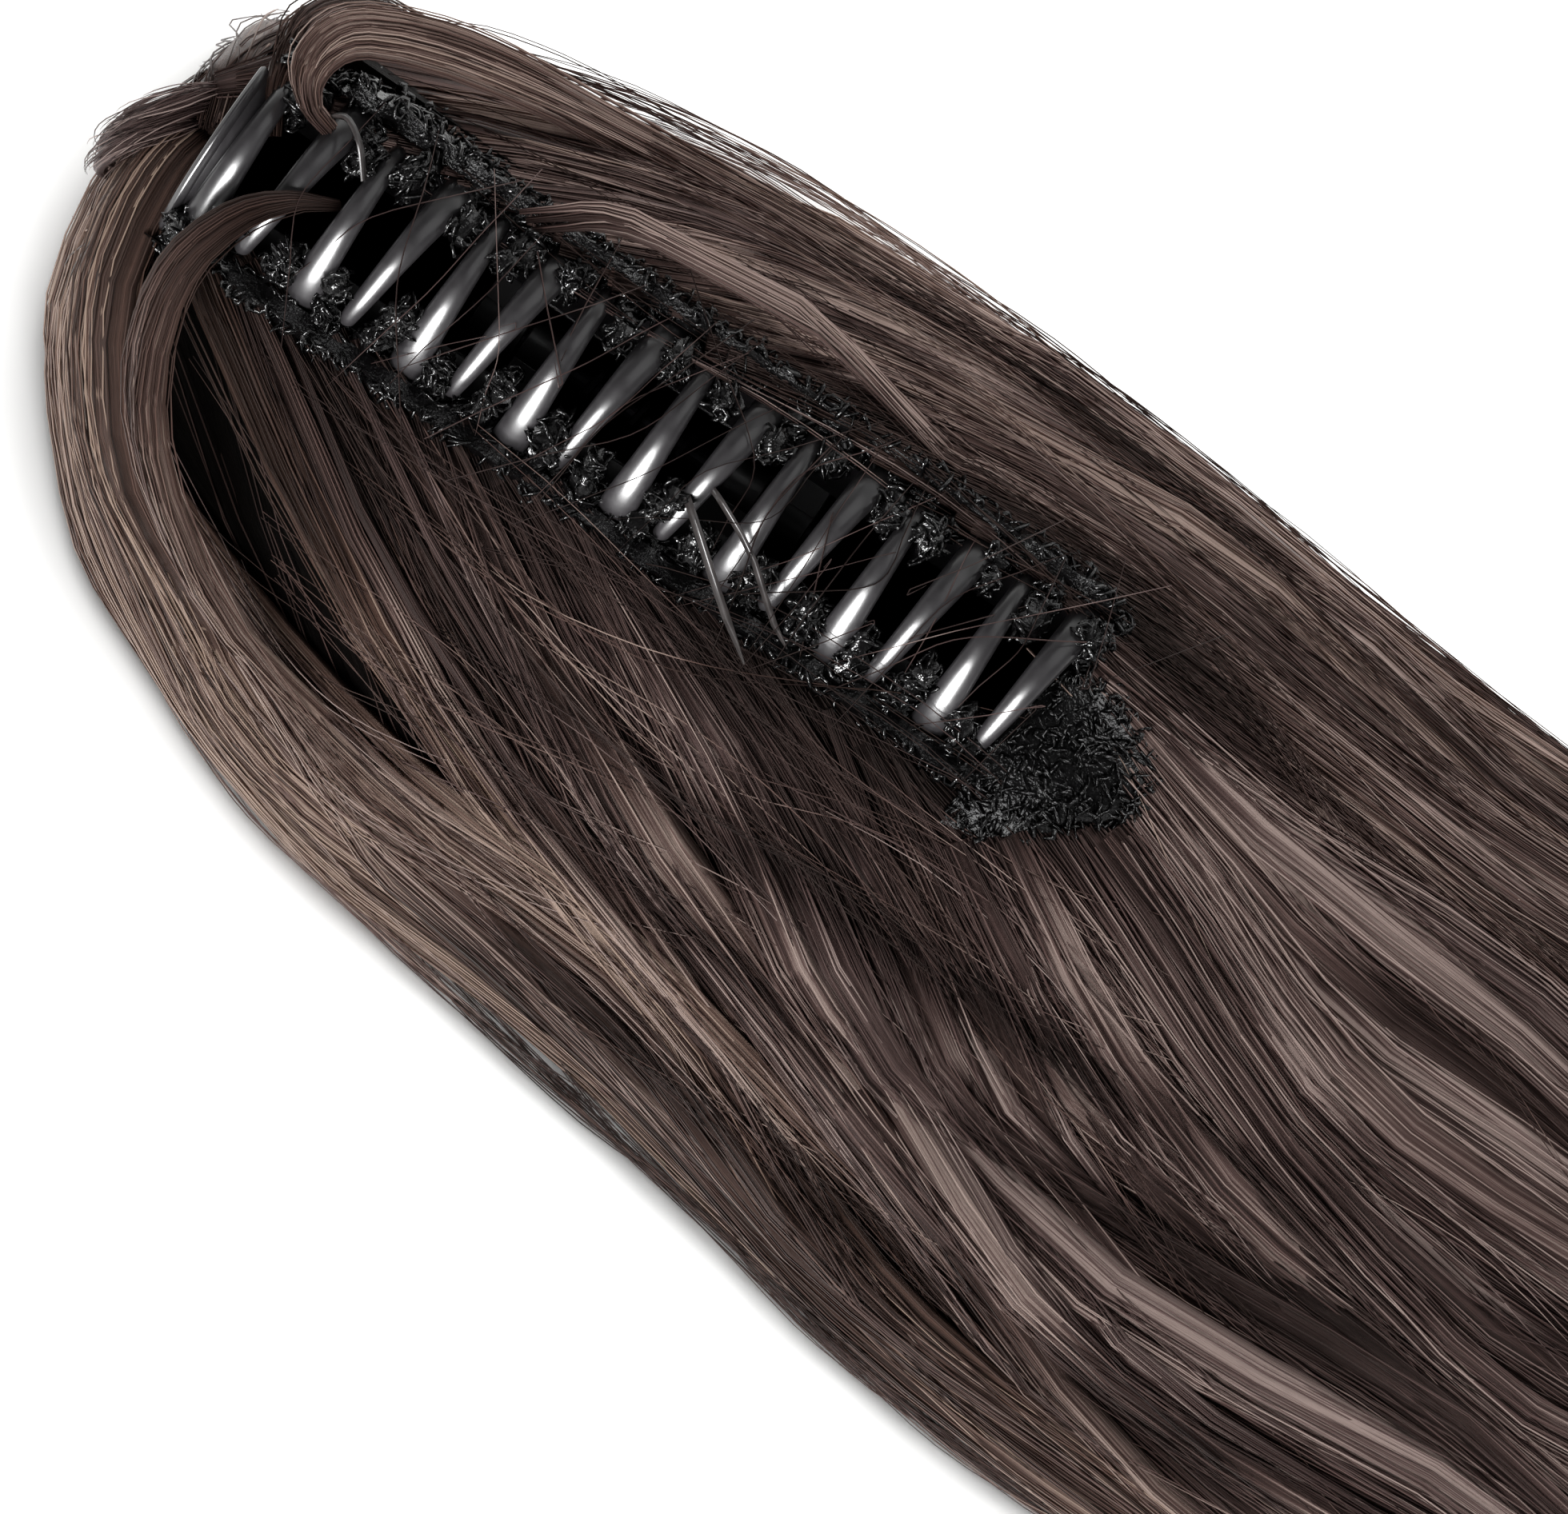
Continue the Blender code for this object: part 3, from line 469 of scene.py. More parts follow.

# Hair cores. Under the loose hair each body of it is packed too close to see between the strands:
# a mass painted dark for the shade deep in the hair, streaked along the way that it lies, which
# leaves the room for the claw open.
Y, LEFT, RIGHT, CREST, HEIGHT = range(5)
HAIR_SECTIONS = (
    (55, -12, -2, -6, 20), (53, -17.5, 4, -4, 30), (49.5, -25, 11, -2, 37), (45, -30.5, 16, 0, 41.5),
    (39, -36, 19.5, 0, 44), (28, -42.5, 22.5, 0, 45), (12, -48.5, 25.3, 0, 45.5), (-5, -51.5, 26.7, 0, 45.5),
    (-25, -54, 26.7, 0, 45.5), (-48, -57, 25.5, -2, 44.5), (-64, -60, 24, -6, 41),
    (-90, -61.5, 22.3, -13, 37),
    (-125, -60, 24, -17, 33), (-160, -52, 32, -11, 30), (-195, -40, 38.5, -2, 27), (-230, -31, 37.5, 2, 21.5),
    (-250, -28, 34.5, 2, 15.5), (-268, -25, 29.5, 2, 10), (-302, -15, 11, -2, 6.5),
)
LEFT_BULGE, RIGHT_BULGE = 1.75, 2.3
EDGE_HEIGHT, EDGE_TUCK = 5.0, 4.0
CORE_INSET = 3.2
TAIL_START_Y = -50.3
CAVITY_TOP_Y = 47.1
PARTING_LEVER_HALF, PARTING_FLOOR_HALF = 14.4, 9.2
LEVER_END_Z, LEVER_CORNER_Z = 3.6, 7.6


def section_at(y):
    """The hair's left, right, crest and height at y, read smoothly between the rows."""
    rows = HAIR_SECTIONS
    y = min(max(y, rows[-1][Y]), rows[0][Y])
    i = next(k for k in range(len(rows) - 1) if y >= rows[k + 1][Y])
    before, one, other, after = rows[max(i - 1, 0)], rows[i], rows[i + 1], rows[min(i + 2, len(rows) - 1)]
    span = other[Y] - one[Y]
    s = (y - one[Y]) / span
    found = [y]
    for column in (LEFT, RIGHT, CREST, HEIGHT):
        a, b, c, d = (row[column] for row in (before, one, other, after))
        slope_one = (c - a) / (other[Y] - before[Y]) * span
        slope_other = (d - b) / (after[Y] - one[Y]) * span
        found.append(
            b * (2 * s**3 - 3 * s**2 + 1) + slope_one * (s**3 - 2 * s**2 + s)
            + c * (3 * s**2 - 2 * s**3) + slope_other * (s**3 - s**2)
        )
    return found


def on_hair(y, angle, inset=0.0):
    """A point of the hair's outside: 0 is the crest, -90 the left edge, 90 the right, past them under it."""
    row = section_at(y)
    side = -1 if angle < 0 else 1
    reach = row[CREST] - row[LEFT] if side < 0 else row[RIGHT] - row[CREST]
    power = 2 / (LEFT_BULGE if side < 0 else RIGHT_BULGE)
    reach = max(reach - inset, 0.5)
    rise = max(row[HEIGHT] - EDGE_HEIGHT - inset, 0.5)
    turn = math.radians(min(abs(angle), 90))
    under = max(0.0, (abs(angle) - 90) / 20)
    return Vector((
        row[CREST] + side * (reach * math.sin(turn) ** power - EDGE_TUCK * under**2), y,
        EDGE_HEIGHT * (1 - under) + rise * max(math.cos(turn), 0.0) ** power,
    ))


def core_piece(name, runs, material):
    """One closed core through runs of rings, with where each point lies on the hair kept for its streaks."""
    shape = bmesh.new()
    flows = []
    for rings in runs:
        lofted(shape, rings)
        for ring in rings:
            around = 0.0
            for i, p in enumerate(ring):
                around += (p - ring[i - 1]).length if i else 0.0
                flows.append((around, p.y, 0.0))
    made = piece_of(name, shape, material, 75)
    flow = made.data.attributes.new("flow", "FLOAT_VECTOR", "POINT")
    flow.data.foreach_set("vector", [value for row in flows for value in row])
    return made


# Synthetic dark brown fibre seen in depth: its colour is painted almost black for the shade it lies
# in, with thin lighter streaks and broad bands of painted light and shade along it.
fibre_in_painted_shade, tree, shader = new_finish("dark_brown_fibre_painted_shade")
shader.inputs["Specular IOR Level"].default_value = 0.06
flow = node(tree, "ShaderNodeAttribute", attribute_name="flow").outputs["Vector"]
thin = node(tree, "ShaderNodeMapping", {"Vector": flow, "Scale": (3.2, 0.06, 1.0)})
broad = node(tree, "ShaderNodeMapping", {"Vector": flow, "Scale": (0.35, 0.02, 1.0)})
streaks = node(
    tree, "ShaderNodeTexNoise", {"Vector": thin.outputs[0], "Scale": 1.0, "Detail": 4.0, "Roughness": 0.7},
)
light_and_shade_bands = node(tree, "ShaderNodeTexNoise", {"Vector": broad.outputs[0], "Scale": 1.0, "Detail": 2.0})
mixed = node(tree, "ShaderNodeMath", {0: streaks.outputs[0], 1: light_and_shade_bands.outputs[0]}, operation="MULTIPLY")
tone = node(tree, "ShaderNodeValToRGB", {0: mixed.outputs[0]})
tone.color_ramp.elements[0].position = 0.16
tone.color_ramp.elements[0].color = linear("#070504")
tone.color_ramp.elements[1].position = 0.42
tone.color_ramp.elements[1].color = linear("#120d0b")
gloss = node(tree, "ShaderNodeMapRange", {0: streaks.outputs[0], 3: 0.65, 4: 0.45})
bump = node(tree, "ShaderNodeBump", {"Height": streaks.outputs[0], "Strength": 0.9, "Distance": 0.0006})
feed(tree, shader, tone.outputs[0], gloss.outputs[0], bump.outputs[0])


def flank_ring(side, y):
    """A section of one flank: over the outside from its edge to the weft, then down the claw's room."""
    outside = [on_hair(y, side * a, CORE_INSET) for a in (90, 78, 66, 54, 43, 35, 29)]
    narrow = y > 40
    room = 2.1 if narrow else 3.5
    wall = [claw_point(side, a, room) for a in (110, 104, 96, 82, 66, 50, 38)]
    foot = [
        Vector((side * x, 0.0, z)) for x, z in (
            (PARTING_LEVER_HALF, LEVER_CORNER_Z), (PARTING_LEVER_HALF, LEVER_END_Z),
            (PARTING_FLOOR_HALF, LEVER_END_Z), (PARTING_FLOOR_HALF, 0.2),
        )
    ]
    edge = outside[0]
    tuck = Vector((edge.x - side * EDGE_TUCK, 0.0, 0.2))
    return [Vector((p.x, y, p.z)) for p in outside + wall + foot + [tuck]]


def whole_ring(y, inset=CORE_INSET):
    """A section through the hair where no claw lies in it."""
    top = [on_hair(y, a, inset) for a in range(-90, 91, 12)]
    tuck = min(EDGE_TUCK, (top[-1].x - top[0].x) * 0.2)
    return top + [Vector((top[-1].x - tuck, y, 0.2)), Vector((top[0].x + tuck, y, 0.2))]


flank_stations = [TAIL_START_Y + 0.4 + (CAVITY_TOP_Y - TAIL_START_Y - 0.8) * i / 40 for i in range(41)]
core_left = core_piece("hair_core_left", [
    [flank_ring(-1, y) for y in flank_stations], [whole_ring(y, 5.4) for y in (47.3, 48.5, 50.0, 51.5, 52.6)],
], fibre_in_painted_shade)
# A thin dark mat under both halves keeps the table from showing through the mouth of the clip: a
# dark sheet that stands in for the shade under the claw.
underlay = core_piece("dark_underlay_painted_shade", [[
    [Vector((x, y, z)) for x, z in (
        (-9, 0.15), (9, 0.15), (9.5, 1.4), (5, 2.2), (1, 1.7), (-4, 2.3), (-9.5, 1.4),
    )] for y in (-50, -40, -25, -10, 5, 20, 35, 45)
]], fibre_in_painted_shade)
core_right = core_piece("hair_core_right", [[flank_ring(1, y) for y in flank_stations]], fibre_in_painted_shade)
core_tail = core_piece("hair_core_tail", [
    [whole_ring(y) for y in (TAIL_START_Y - 0.4, TAIL_START_Y - 6)] + [
        whole_ring(TAIL_START_Y - 12 - i * 6.0) for i in range(38)
    ],
], fibre_in_painted_shade)
for core, body, replaced in (
    (core_left, "left_half", "hair_left"), (core_right, "right_half", "hair_right"),
    (core_tail, "left_half", "hair_tail"),
):
    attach(core, body)
    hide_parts(replaced)
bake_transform(underlay)

# Hair. Long straight synthetic fibre in flattened locks that leave the wefts, turn down the flanks
# and run on to the tips. Each lock is a guide line, and the tree lays its strands along it.
STRAND_RADIUS = 0.09
GUIDE_POINTS = 22
STRAIGHT_STEP = 80
BUNDLE_SIDES = 12
BUNDLE_SHARE = 0.86

fibre, tree, shader = new_finish("dark_brown_hair_fibre")
shader.inputs["IOR"].default_value = 1.55
shader.inputs["Specular IOR Level"].default_value = 0.3
shader.inputs["Specular Tint"].default_value = linear("#f0d5cc")
place = node(tree, "ShaderNodeTexCoord").outputs["Object"]
tint = node(tree, "ShaderNodeAttribute", attribute_name="tint").outputs["Fac"]
warm = node(tree, "ShaderNodeAttribute", attribute_name="warm").outputs["Fac"]
cloud = node(tree, "ShaderNodeTexNoise", {"Vector": place, "Scale": 55.0, "Detail": 2.0})
depth = node(tree, "ShaderNodeMapRange", {0: cloud.outputs[0], 1: 0.3, 2: 0.7, 3: 0.75, 4: 1.25})
light = node(tree, "ShaderNodeMath", {0: tint, 1: depth.outputs[0]}, operation="MULTIPLY")
half = node(tree, "ShaderNodeMath", {0: light.outputs[0], 1: 0.5}, operation="MULTIPLY")
cool = node(tree, "ShaderNodeValToRGB", {0: half.outputs[0]})
honey = node(tree, "ShaderNodeValToRGB", {0: half.outputs[0]})
for ramp, shades in ((cool, ("#060303", "#5e4b49", "#a8958f")), (honey, ("#0a0504", "#6b5247", "#a68f7f"))):
    ramp.color_ramp.elements.new(0.5)
    for stop, shade in zip(ramp.color_ramp.elements, shades):
        stop.color = linear(shade)
    ramp.color_ramp.elements[0].position = 0.0
    ramp.color_ramp.elements[2].position = 1.0
tone = node(tree, "ShaderNodeMix", {0: warm, 6: cool.outputs[0], 7: honey.outputs[0]}, data_type="RGBA")
gloss = node(tree, "ShaderNodeMapRange", {0: cloud.outputs[0], 3: 0.36, 4: 0.48})
feed(tree, shader, tone.outputs[2], gloss.outputs[0])

# The same fibre lying side by side in a lock: fine lines run along it, each a little lighter or
# darker and a little proud of the next. Their colour is partly the fibres' own tone and partly a
# painted sheen, and broad bands along the lock are painted light and shade.
bundled, tree, shader = new_finish("dark_brown_hair_fibre_in_locks")
shader.inputs["IOR"].default_value = 1.55
shader.inputs["Specular IOR Level"].default_value = 0.22
shader.inputs["Specular Tint"].default_value = linear("#f0d5cc")
flow = node(tree, "ShaderNodeAttribute", attribute_name="flow").outputs["Vector"]
tint = node(tree, "ShaderNodeAttribute", attribute_name="tint").outputs["Fac"]
warm = node(tree, "ShaderNodeAttribute", attribute_name="warm").outputs["Fac"]
fine = node(tree, "ShaderNodeMapping", {"Vector": flow, "Scale": (3.6, 0.02, 1.0)})
broad = node(tree, "ShaderNodeMapping", {"Vector": flow, "Scale": (0.7, 0.012, 1.0)})
lines = node(
    tree, "ShaderNodeTexNoise", {"Vector": fine.outputs[0], "Scale": 1.0, "Detail": 5.0, "Roughness": 0.85},
)
# Painted light and shade: broad lighter and darker bands along the lock, and a painted sheen in the fine
# lines.
light_and_shade_bands = node(tree, "ShaderNodeTexNoise", {"Vector": broad.outputs[0], "Scale": 1.0, "Detail": 1.0})
fibre_tone_and_sheen = node(tree, "ShaderNodeMapRange", {0: lines.outputs[0], 1: 0.34, 2: 0.68, 3: 0.12, 4: 1.75})
band = node(tree, "ShaderNodeMapRange", {0: light_and_shade_bands.outputs[0], 1: 0.3, 2: 0.7, 3: 0.32, 4: 1.65})
mixed = node(tree, "ShaderNodeMath", {0: fibre_tone_and_sheen.outputs[0], 1: band.outputs[0]}, operation="MULTIPLY")
light = node(tree, "ShaderNodeMath", {0: mixed.outputs[0], 1: tint}, operation="MULTIPLY")
half = node(tree, "ShaderNodeMath", {0: light.outputs[0], 1: 0.5}, operation="MULTIPLY")
cool = node(tree, "ShaderNodeValToRGB", {0: half.outputs[0]})
honey = node(tree, "ShaderNodeValToRGB", {0: half.outputs[0]})
for ramp, shades in ((cool, ("#060303", "#5e4b49", "#a8958f")), (honey, ("#0a0504", "#6b5247", "#a68f7f"))):
    ramp.color_ramp.elements.new(0.5)
    for stop, shade in zip(ramp.color_ramp.elements, shades):
        stop.color = linear(shade)
    ramp.color_ramp.elements[0].position = 0.0
    ramp.color_ramp.elements[2].position = 1.0
tone = node(tree, "ShaderNodeMix", {0: warm, 6: cool.outputs[0], 7: honey.outputs[0]}, data_type="RGBA")
gloss = node(tree, "ShaderNodeMapRange", {0: lines.outputs[0], 3: 0.3, 4: 0.44})
bump = node(tree, "ShaderNodeBump", {"Height": lines.outputs[0], "Strength": 0.7, "Distance": 0.0003})
feed(tree, shader, tone.outputs[2], gloss.outputs[0], bump.outputs[0])

tree, given = start_tree("strands along each lock", "Hair", (
    ("Locks", "Geometry"), ("Strands Per Lock", "Int"), ("Strand Radius", "Float"), ("Frizz", "Float"),
    ("Shortest Share", "Float"), ("Seed", "Int"), ("Fibre", "Material"),
))
lines = node(tree, "GeometryNodeMeshToCurve", {0: given["Locks"]})
copies = node(tree, "GeometryNodeDuplicateElements", {
    "Geometry": lines.outputs[0], "Amount": given["Strands Per Lock"],
}, domain="SPLINE")
drawn = {}
for step, (label, low, high) in enumerate((
    ("across", -1.0, 1.0), ("depth", 0.7, 1.4), ("phase", 0.0, 60.0), ("tint", 0.0, 1.0),
    ("length", 0.0, 1.0), ("girth", 0.75, 1.25), ("swing", 0.1, 0.6),
)):
    seed = node(tree, "ShaderNodeMath", {0: given["Seed"], 1: 17.0 * step}, operation="ADD")
    value = node(tree, "FunctionNodeRandomValue", {2: low, 3: high, 8: seed.outputs[0]}, data_type="FLOAT")
    whole = node(tree, "GeometryNodeFieldOnDomain", {0: value.outputs[1]}, domain="CURVE", data_type="FLOAT")
    drawn[label] = whole.outputs[0]
along = node(tree, "GeometryNodeSplineParameter").outputs
across = node(tree, "GeometryNodeInputNamedAttribute", {"Name": "across"}, data_type="FLOAT_VECTOR")
outward = node(tree, "GeometryNodeInputNamedAttribute", {"Name": "outward"}, data_type="FLOAT_VECTOR")
lock_tint = node(tree, "GeometryNodeInputNamedAttribute", {"Name": "tint"}, data_type="FLOAT")
bend = node(tree, "ShaderNodeMath", {0: along["Factor"], 1: 7.0, 2: drawn["phase"]}, operation="MULTIPLY_ADD")
wave = node(tree, "ShaderNodeMath", {0: bend.outputs[0]}, operation="SINE")
aside = node(tree, "ShaderNodeMath", {
    0: wave.outputs[0], 1: drawn["swing"], 2: drawn["across"],
}, operation="MULTIPLY_ADD")
step_across = node(
    tree, "ShaderNodeVectorMath", {0: across.outputs[0], "Scale": aside.outputs[0]}, operation="SCALE",
)
square = node(tree, "ShaderNodeMath", {0: drawn["across"], 1: drawn["across"]}, operation="MULTIPLY")
crown = node(tree, "ShaderNodeMath", {0: square.outputs[0], 1: -0.75, 2: 1.0}, operation="MULTIPLY_ADD")
lift = node(tree, "ShaderNodeMath", {0: crown.outputs[0], 1: drawn["depth"]}, operation="MULTIPLY")
step_out = node(
    tree, "ShaderNodeVectorMath", {0: outward.outputs[0], "Scale": lift.outputs[0]}, operation="SCALE",
)
reach = node(tree, "ShaderNodeMath", {0: along["Length"], 1: 28.0}, operation="MULTIPLY")
spot = node(tree, "ShaderNodeCombineXYZ", {0: reach.outputs[0], 1: drawn["phase"], 2: drawn["across"]})
stray = node(tree, "ShaderNodeTexNoise", {"Vector": spot.outputs[0], "Scale": 1.0, "Detail": 1.5})
centred = node(
    tree, "ShaderNodeVectorMath", {0: stray.outputs["Color"], 1: (0.5, 0.5, 0.5)}, operation="SUBTRACT",
)
ramp = node(tree, "ShaderNodeMapRange", {0: along["Factor"], 1: 0.0, 2: 0.2, 3: 0.15, 4: 1.0})
amount = node(tree, "ShaderNodeMath", {0: ramp.outputs[0], 1: given["Frizz"]}, operation="MULTIPLY")
frizz = node(
    tree, "ShaderNodeVectorMath", {0: centred.outputs[0], "Scale": amount.outputs[0]}, operation="SCALE",
)
shift = node(
    tree, "ShaderNodeVectorMath", {0: step_across.outputs[0], 1: step_out.outputs[0]}, operation="ADD",
)
total = node(tree, "ShaderNodeVectorMath", {0: shift.outputs[0], 1: frizz.outputs[0]}, operation="ADD")
laid = node(tree, "GeometryNodeSetPosition", {0: copies.outputs[0], "Offset": total.outputs[0]})
spot = node(tree, "GeometryNodeInputPosition")
parts = node(tree, "ShaderNodeSeparateXYZ", {0: spot.outputs[0]})
above = node(tree, "ShaderNodeMath", {0: parts.outputs[2], 1: given["Strand Radius"]}, operation="MAXIMUM")
rested = node(tree, "ShaderNodeCombineXYZ", {0: parts.outputs[0], 1: parts.outputs[1], 2: above.outputs[0]})
settled = node(tree, "GeometryNodeSetPosition", {0: laid.outputs[0], "Position": rested.outputs[0]})
length = node(
    tree, "ShaderNodeMapRange", {0: drawn["length"], 1: 0.0, 2: 1.0, 3: given["Shortest Share"], 4: 1.0},
)
trimmed = node(tree, "GeometryNodeTrimCurve", {0: settled.outputs[0], 3: length.outputs[0]}, mode="FACTOR")
# Painted shade: strands lying deeper in their lock are coloured darker.
buried_shade = node(tree, "ShaderNodeMapRange", {0: drawn["depth"], 1: 0.7, 2: 1.4, 3: 0.7, 4: 1.1})
rare = node(tree, "ShaderNodeMath", {0: drawn["tint"], 1: 2.6}, operation="POWER")
bright = node(tree, "ShaderNodeMath", {0: rare.outputs[0], 1: 1.9, 2: 0.45}, operation="MULTIPLY_ADD")
lit_tint = node(tree, "ShaderNodeMath", {0: lock_tint.outputs[0], 1: bright.outputs[0]}, operation="MULTIPLY")
own_tint = node(tree, "ShaderNodeMath", {0: lit_tint.outputs[0], 1: buried_shade.outputs[0]}, operation="MULTIPLY")
coloured = node(tree, "GeometryNodeStoreNamedAttribute", {
    0: trimmed.outputs[0], "Name": "tint", "Value": own_tint.outputs[0],
}, data_type="FLOAT", domain="POINT")
tip = node(tree, "ShaderNodeMapRange", {0: along["Factor"], 1: 0.85, 2: 1.0, 3: 1.0, 4: 0.25})
girth = node(tree, "ShaderNodeMath", {0: tip.outputs[0], 1: drawn["girth"]}, operation="MULTIPLY")
radius = node(tree, "ShaderNodeMath", {0: girth.outputs[0], 1: given["Strand Radius"]}, operation="MULTIPLY")
profile = node(tree, "GeometryNodeCurvePrimitiveCircle", {"Resolution": 3, 4: 1.0})
tubes = node(tree, "GeometryNodeCurveToMesh", {
    "Curve": coloured.outputs[0], "Profile Curve": profile.outputs[0], "Scale": radius.outputs[0],
    "Fill Caps": True,
})
soft = node(tree, "GeometryNodeSetShadeSmooth", {0: tubes.outputs[0]})
strands_tree = end_tree(tree, soft.outputs[0], given["Fibre"])


# Painted light and shade on the hair: lighter where the light falls over the flanks, darker in the
# shade at the roots, and darker low on the left: x, y, reach, amount.
PAINTED_LIGHT_AND_SHADE_SPOTS = (
    (-18, 18, 8, -0.75), (-28, -8, 7, 0.9), (-38, 14, 8, 0.7), (-50, -16, 9, 1.5), (-26, 42, 8, 0.15),
    (-33, -64, 10, 0.45), (-52, -60, 11, -0.7), (21, -10, 9, 1.5), (13, -78, 9, 0.25), (-37, -36, 8, -0.3),
)


def smooth_path(stops, count):
    """Points on a smooth line through the stops, closest together where it bends most."""
    fine = []
    for i in range(len(stops) - 1):
        a, b, c, d = stops[max(i - 1, 0)], stops[i], stops[i + 1], stops[min(i + 2, len(stops) - 1)]
        for t in (0.0, 0.17, 0.34, 0.5, 0.67, 0.84):
            fine.append(0.5 * (
                2 * b + (c - a) * t + (2 * a - 5 * b + 4 * c - d) * t**2 + (3 * b - a - 3 * c + d) * t**3
            ))
    fine.append(stops[-1])
    needs = [0.0, (fine[1] - fine[0]).length / STRAIGHT_STEP]
    for before, here, after in zip(fine, fine[1:], fine[2:]):
        bend = (here - before).angle(after - here, 0.0)
        needs.append(needs[-1] + (after - here).length / STRAIGHT_STEP + bend)
    path, i = [], 0
    for k in range(count):
        at = needs[-1] * k / (count - 1)
        while i < len(fine) - 2 and needs[i + 1] < at:
            i += 1
        path.append(fine[i].lerp(fine[i + 1], min(1.0, (at - needs[i]) / (needs[i + 1] - needs[i]))))
    return path


def clump(point):
    """How far the hair stands proud of its even outside here, from -1 to 1, so that locks bunch and part."""
    return 2.0 * noise.noise(Vector((point.x / 7.5, point.y / 48, point.z / 7.5)))


def painted_light_and_shade_at(point):
    """How much lighter or darker the hair is painted here for light and shade, next to its mean."""
    tone = 1.0
    for x, y, reach, amount in PAINTED_LIGHT_AND_SHADE_SPOTS:
        apart = ((point.x - x) ** 2 + ((point.y - y) / 2) ** 2) / reach**2
        tone += amount * math.exp(-apart)
    return max(tone, 0.2)


def lock(
    stops, half_width, half_thickness, tint, warm, root_share=0.35, swell=0.12, root_shade_share=0.35,
    root_shade_length=36, count=GUIDE_POINTS,
):
    """A guide line with how far its strands may lie across and outward, and its tint with painted light and
    shade, at each point.
    """
    path = smooth_path(stops, count)
    rows = []
    last = len(path) - 1
    gone = 0.0
    for i, point in enumerate(path):
        ahead = (path[min(i + 1, last)] - path[max(i - 1, 0)]).normalized()
        row = section_at(point.y)
        out = point - Vector((row[CREST], min(point.y, 40.0), 10.0))
        out = (out - ahead * out.dot(ahead)).normalized()
        across = out.cross(ahead).normalized()
        gone += (point - path[max(i - 1, 0)]).length
        grown = root_share + (1 - root_share) * min(1.0, i / last / swell)
        # Painted shade and light in the tint: darker near the root where the hair leaves the weft, darker in
        # the gaps between clumps and lighter on the proud ones, and the painted light and shade spots.
        clump_light_and_shade = min(max(1 + 0.95 * clump(point) * min(max((26 - point.y) / 30, 0.15), 1.0), 0.12), 1.5)
        shade = tint * (root_shade_share + (1 - root_shade_share) * min(1.0, gone / root_shade_length)) * clump_light_and_shade * painted_light_and_shade_at(point)
        rows.append((
            point, across * half_width * grown, out * half_thickness * grown, max(shade, 0.03), warm,
        ))
    return rows


def bundles_piece(name, locks, material):
    """The locks as closed flattened bundles, ridged along their length, just inside their strands."""
    shape = bmesh.new()
    flows, shades, warmths = [], [], []
    for number, rows in enumerate(locks):
        ridges = [1 + 0.3 * noise.noise(Vector((k * 1.7, number * 3.1, 2.0))) for k in range(BUNDLE_SIDES)]
        width = max(row[1].length for row in rows)
        rings, gone = [], 0.0
        for i, (point, across, out, shade, warm) in enumerate(rows):
            gone += (point - rows[max(i - 1, 0)][0]).length
            fill = BUNDLE_SHARE * min(1.0, 0.45 + 0.3 * (len(rows) - 1 - i))
            ring = []
            for k, ridge in enumerate(ridges):
                turn = 2 * math.pi * k / BUNDLE_SIDES
                spot = point + (across * math.cos(turn) + out * math.sin(turn)) * fill * ridge
                ring.append(Vector((spot.x, spot.y, max(spot.z, 0.1))))
                flows += (width * turn, gone, number * 5.3)
                shades.append(shade)
                warmths.append(warm)
            rings.append(ring)
        lofted(shape, rings)
    made = piece_of(name, shape, material, 180)
    flow = made.data.attributes.new("flow", "FLOAT_VECTOR", "POINT")
    flow.data.foreach_set("vector", flows)
    for label, values in (("tint", shades), ("warm", warmths)):
        kept = made.data.attributes.new(label, "FLOAT", "POINT")
        kept.data.foreach_set("value", values)
    return made


def hair_piece(name, locks, per_lock, radius, frizz, shortest, seed, material):
    """The strands of several locks as one piece."""
    points, edges = [], []
    for rows in locks:
        start = len(points)
        points += rows
        edges += [(start + i, start + i + 1) for i in range(len(rows) - 1)]
    mesh = bpy.data.meshes.new(name)
    mesh.from_pydata([ORIGIN + row[0] * MM for row in points], edges, [])
    for k, label in ((1, "across"), (2, "outward")):
        values = mesh.attributes.new(label, "FLOAT_VECTOR", "POINT")
        values.data.foreach_set("vector", [v * MM for row in points for v in row[k]])
    for k, label in ((3, "tint"), (4, "warm")):
        values = mesh.attributes.new(label, "FLOAT", "POINT")
        values.data.foreach_set("value", [row[k] for row in points])
    made = bpy.data.objects.new(name, mesh)
    bpy.context.scene.collection.objects.link(made)
    grow(made, strands_tree, {
        "Strands Per Lock": per_lock, "Strand Radius": radius * MM, "Frizz": frizz * MM,
        "Shortest Share": shortest, "Seed": seed, "Fibre": material,
    })
    for label in ("across", "outward"):
        made.data.attributes.remove(made.data.attributes[label])
    return made


def course(start_y, end_y, start_angle, settled_angle, turn_length, inset, root_inset):
    """Stops on the hair's outside for a lock that leaves its weft, turns and runs on to the tips."""
    stops = []
    for i in range(30):
        s = (i / 29) ** 1.45
        y = start_y + (end_y - start_y) * s
        left_to_turn = max(0.0, 1 - (start_y - y) / turn_length)
        angle = settled_angle + (start_angle - settled_angle) * left_to_turn**2
        ripple = noise.noise(Vector((angle / 22, y / 55, 4.0)))
        settle = 1 - left_to_turn**2
        proud = clump(on_hair(y, angle, inset)) * 1.7
        drawn_in = 0.0
        if angle > 0:
            drawn_in = 2.0 * min(max((y + 30) / 30, 0.0), 1.0) + 1.8 * min(max(y / 22, 0.0), 1.0)
        stops.append(on_hair(
            y, angle + 10 * ripple * settle, (inset + drawn_in - proud) * settle + root_inset * (1 - settle),
        ))
    return stops


chance = random.Random(21)
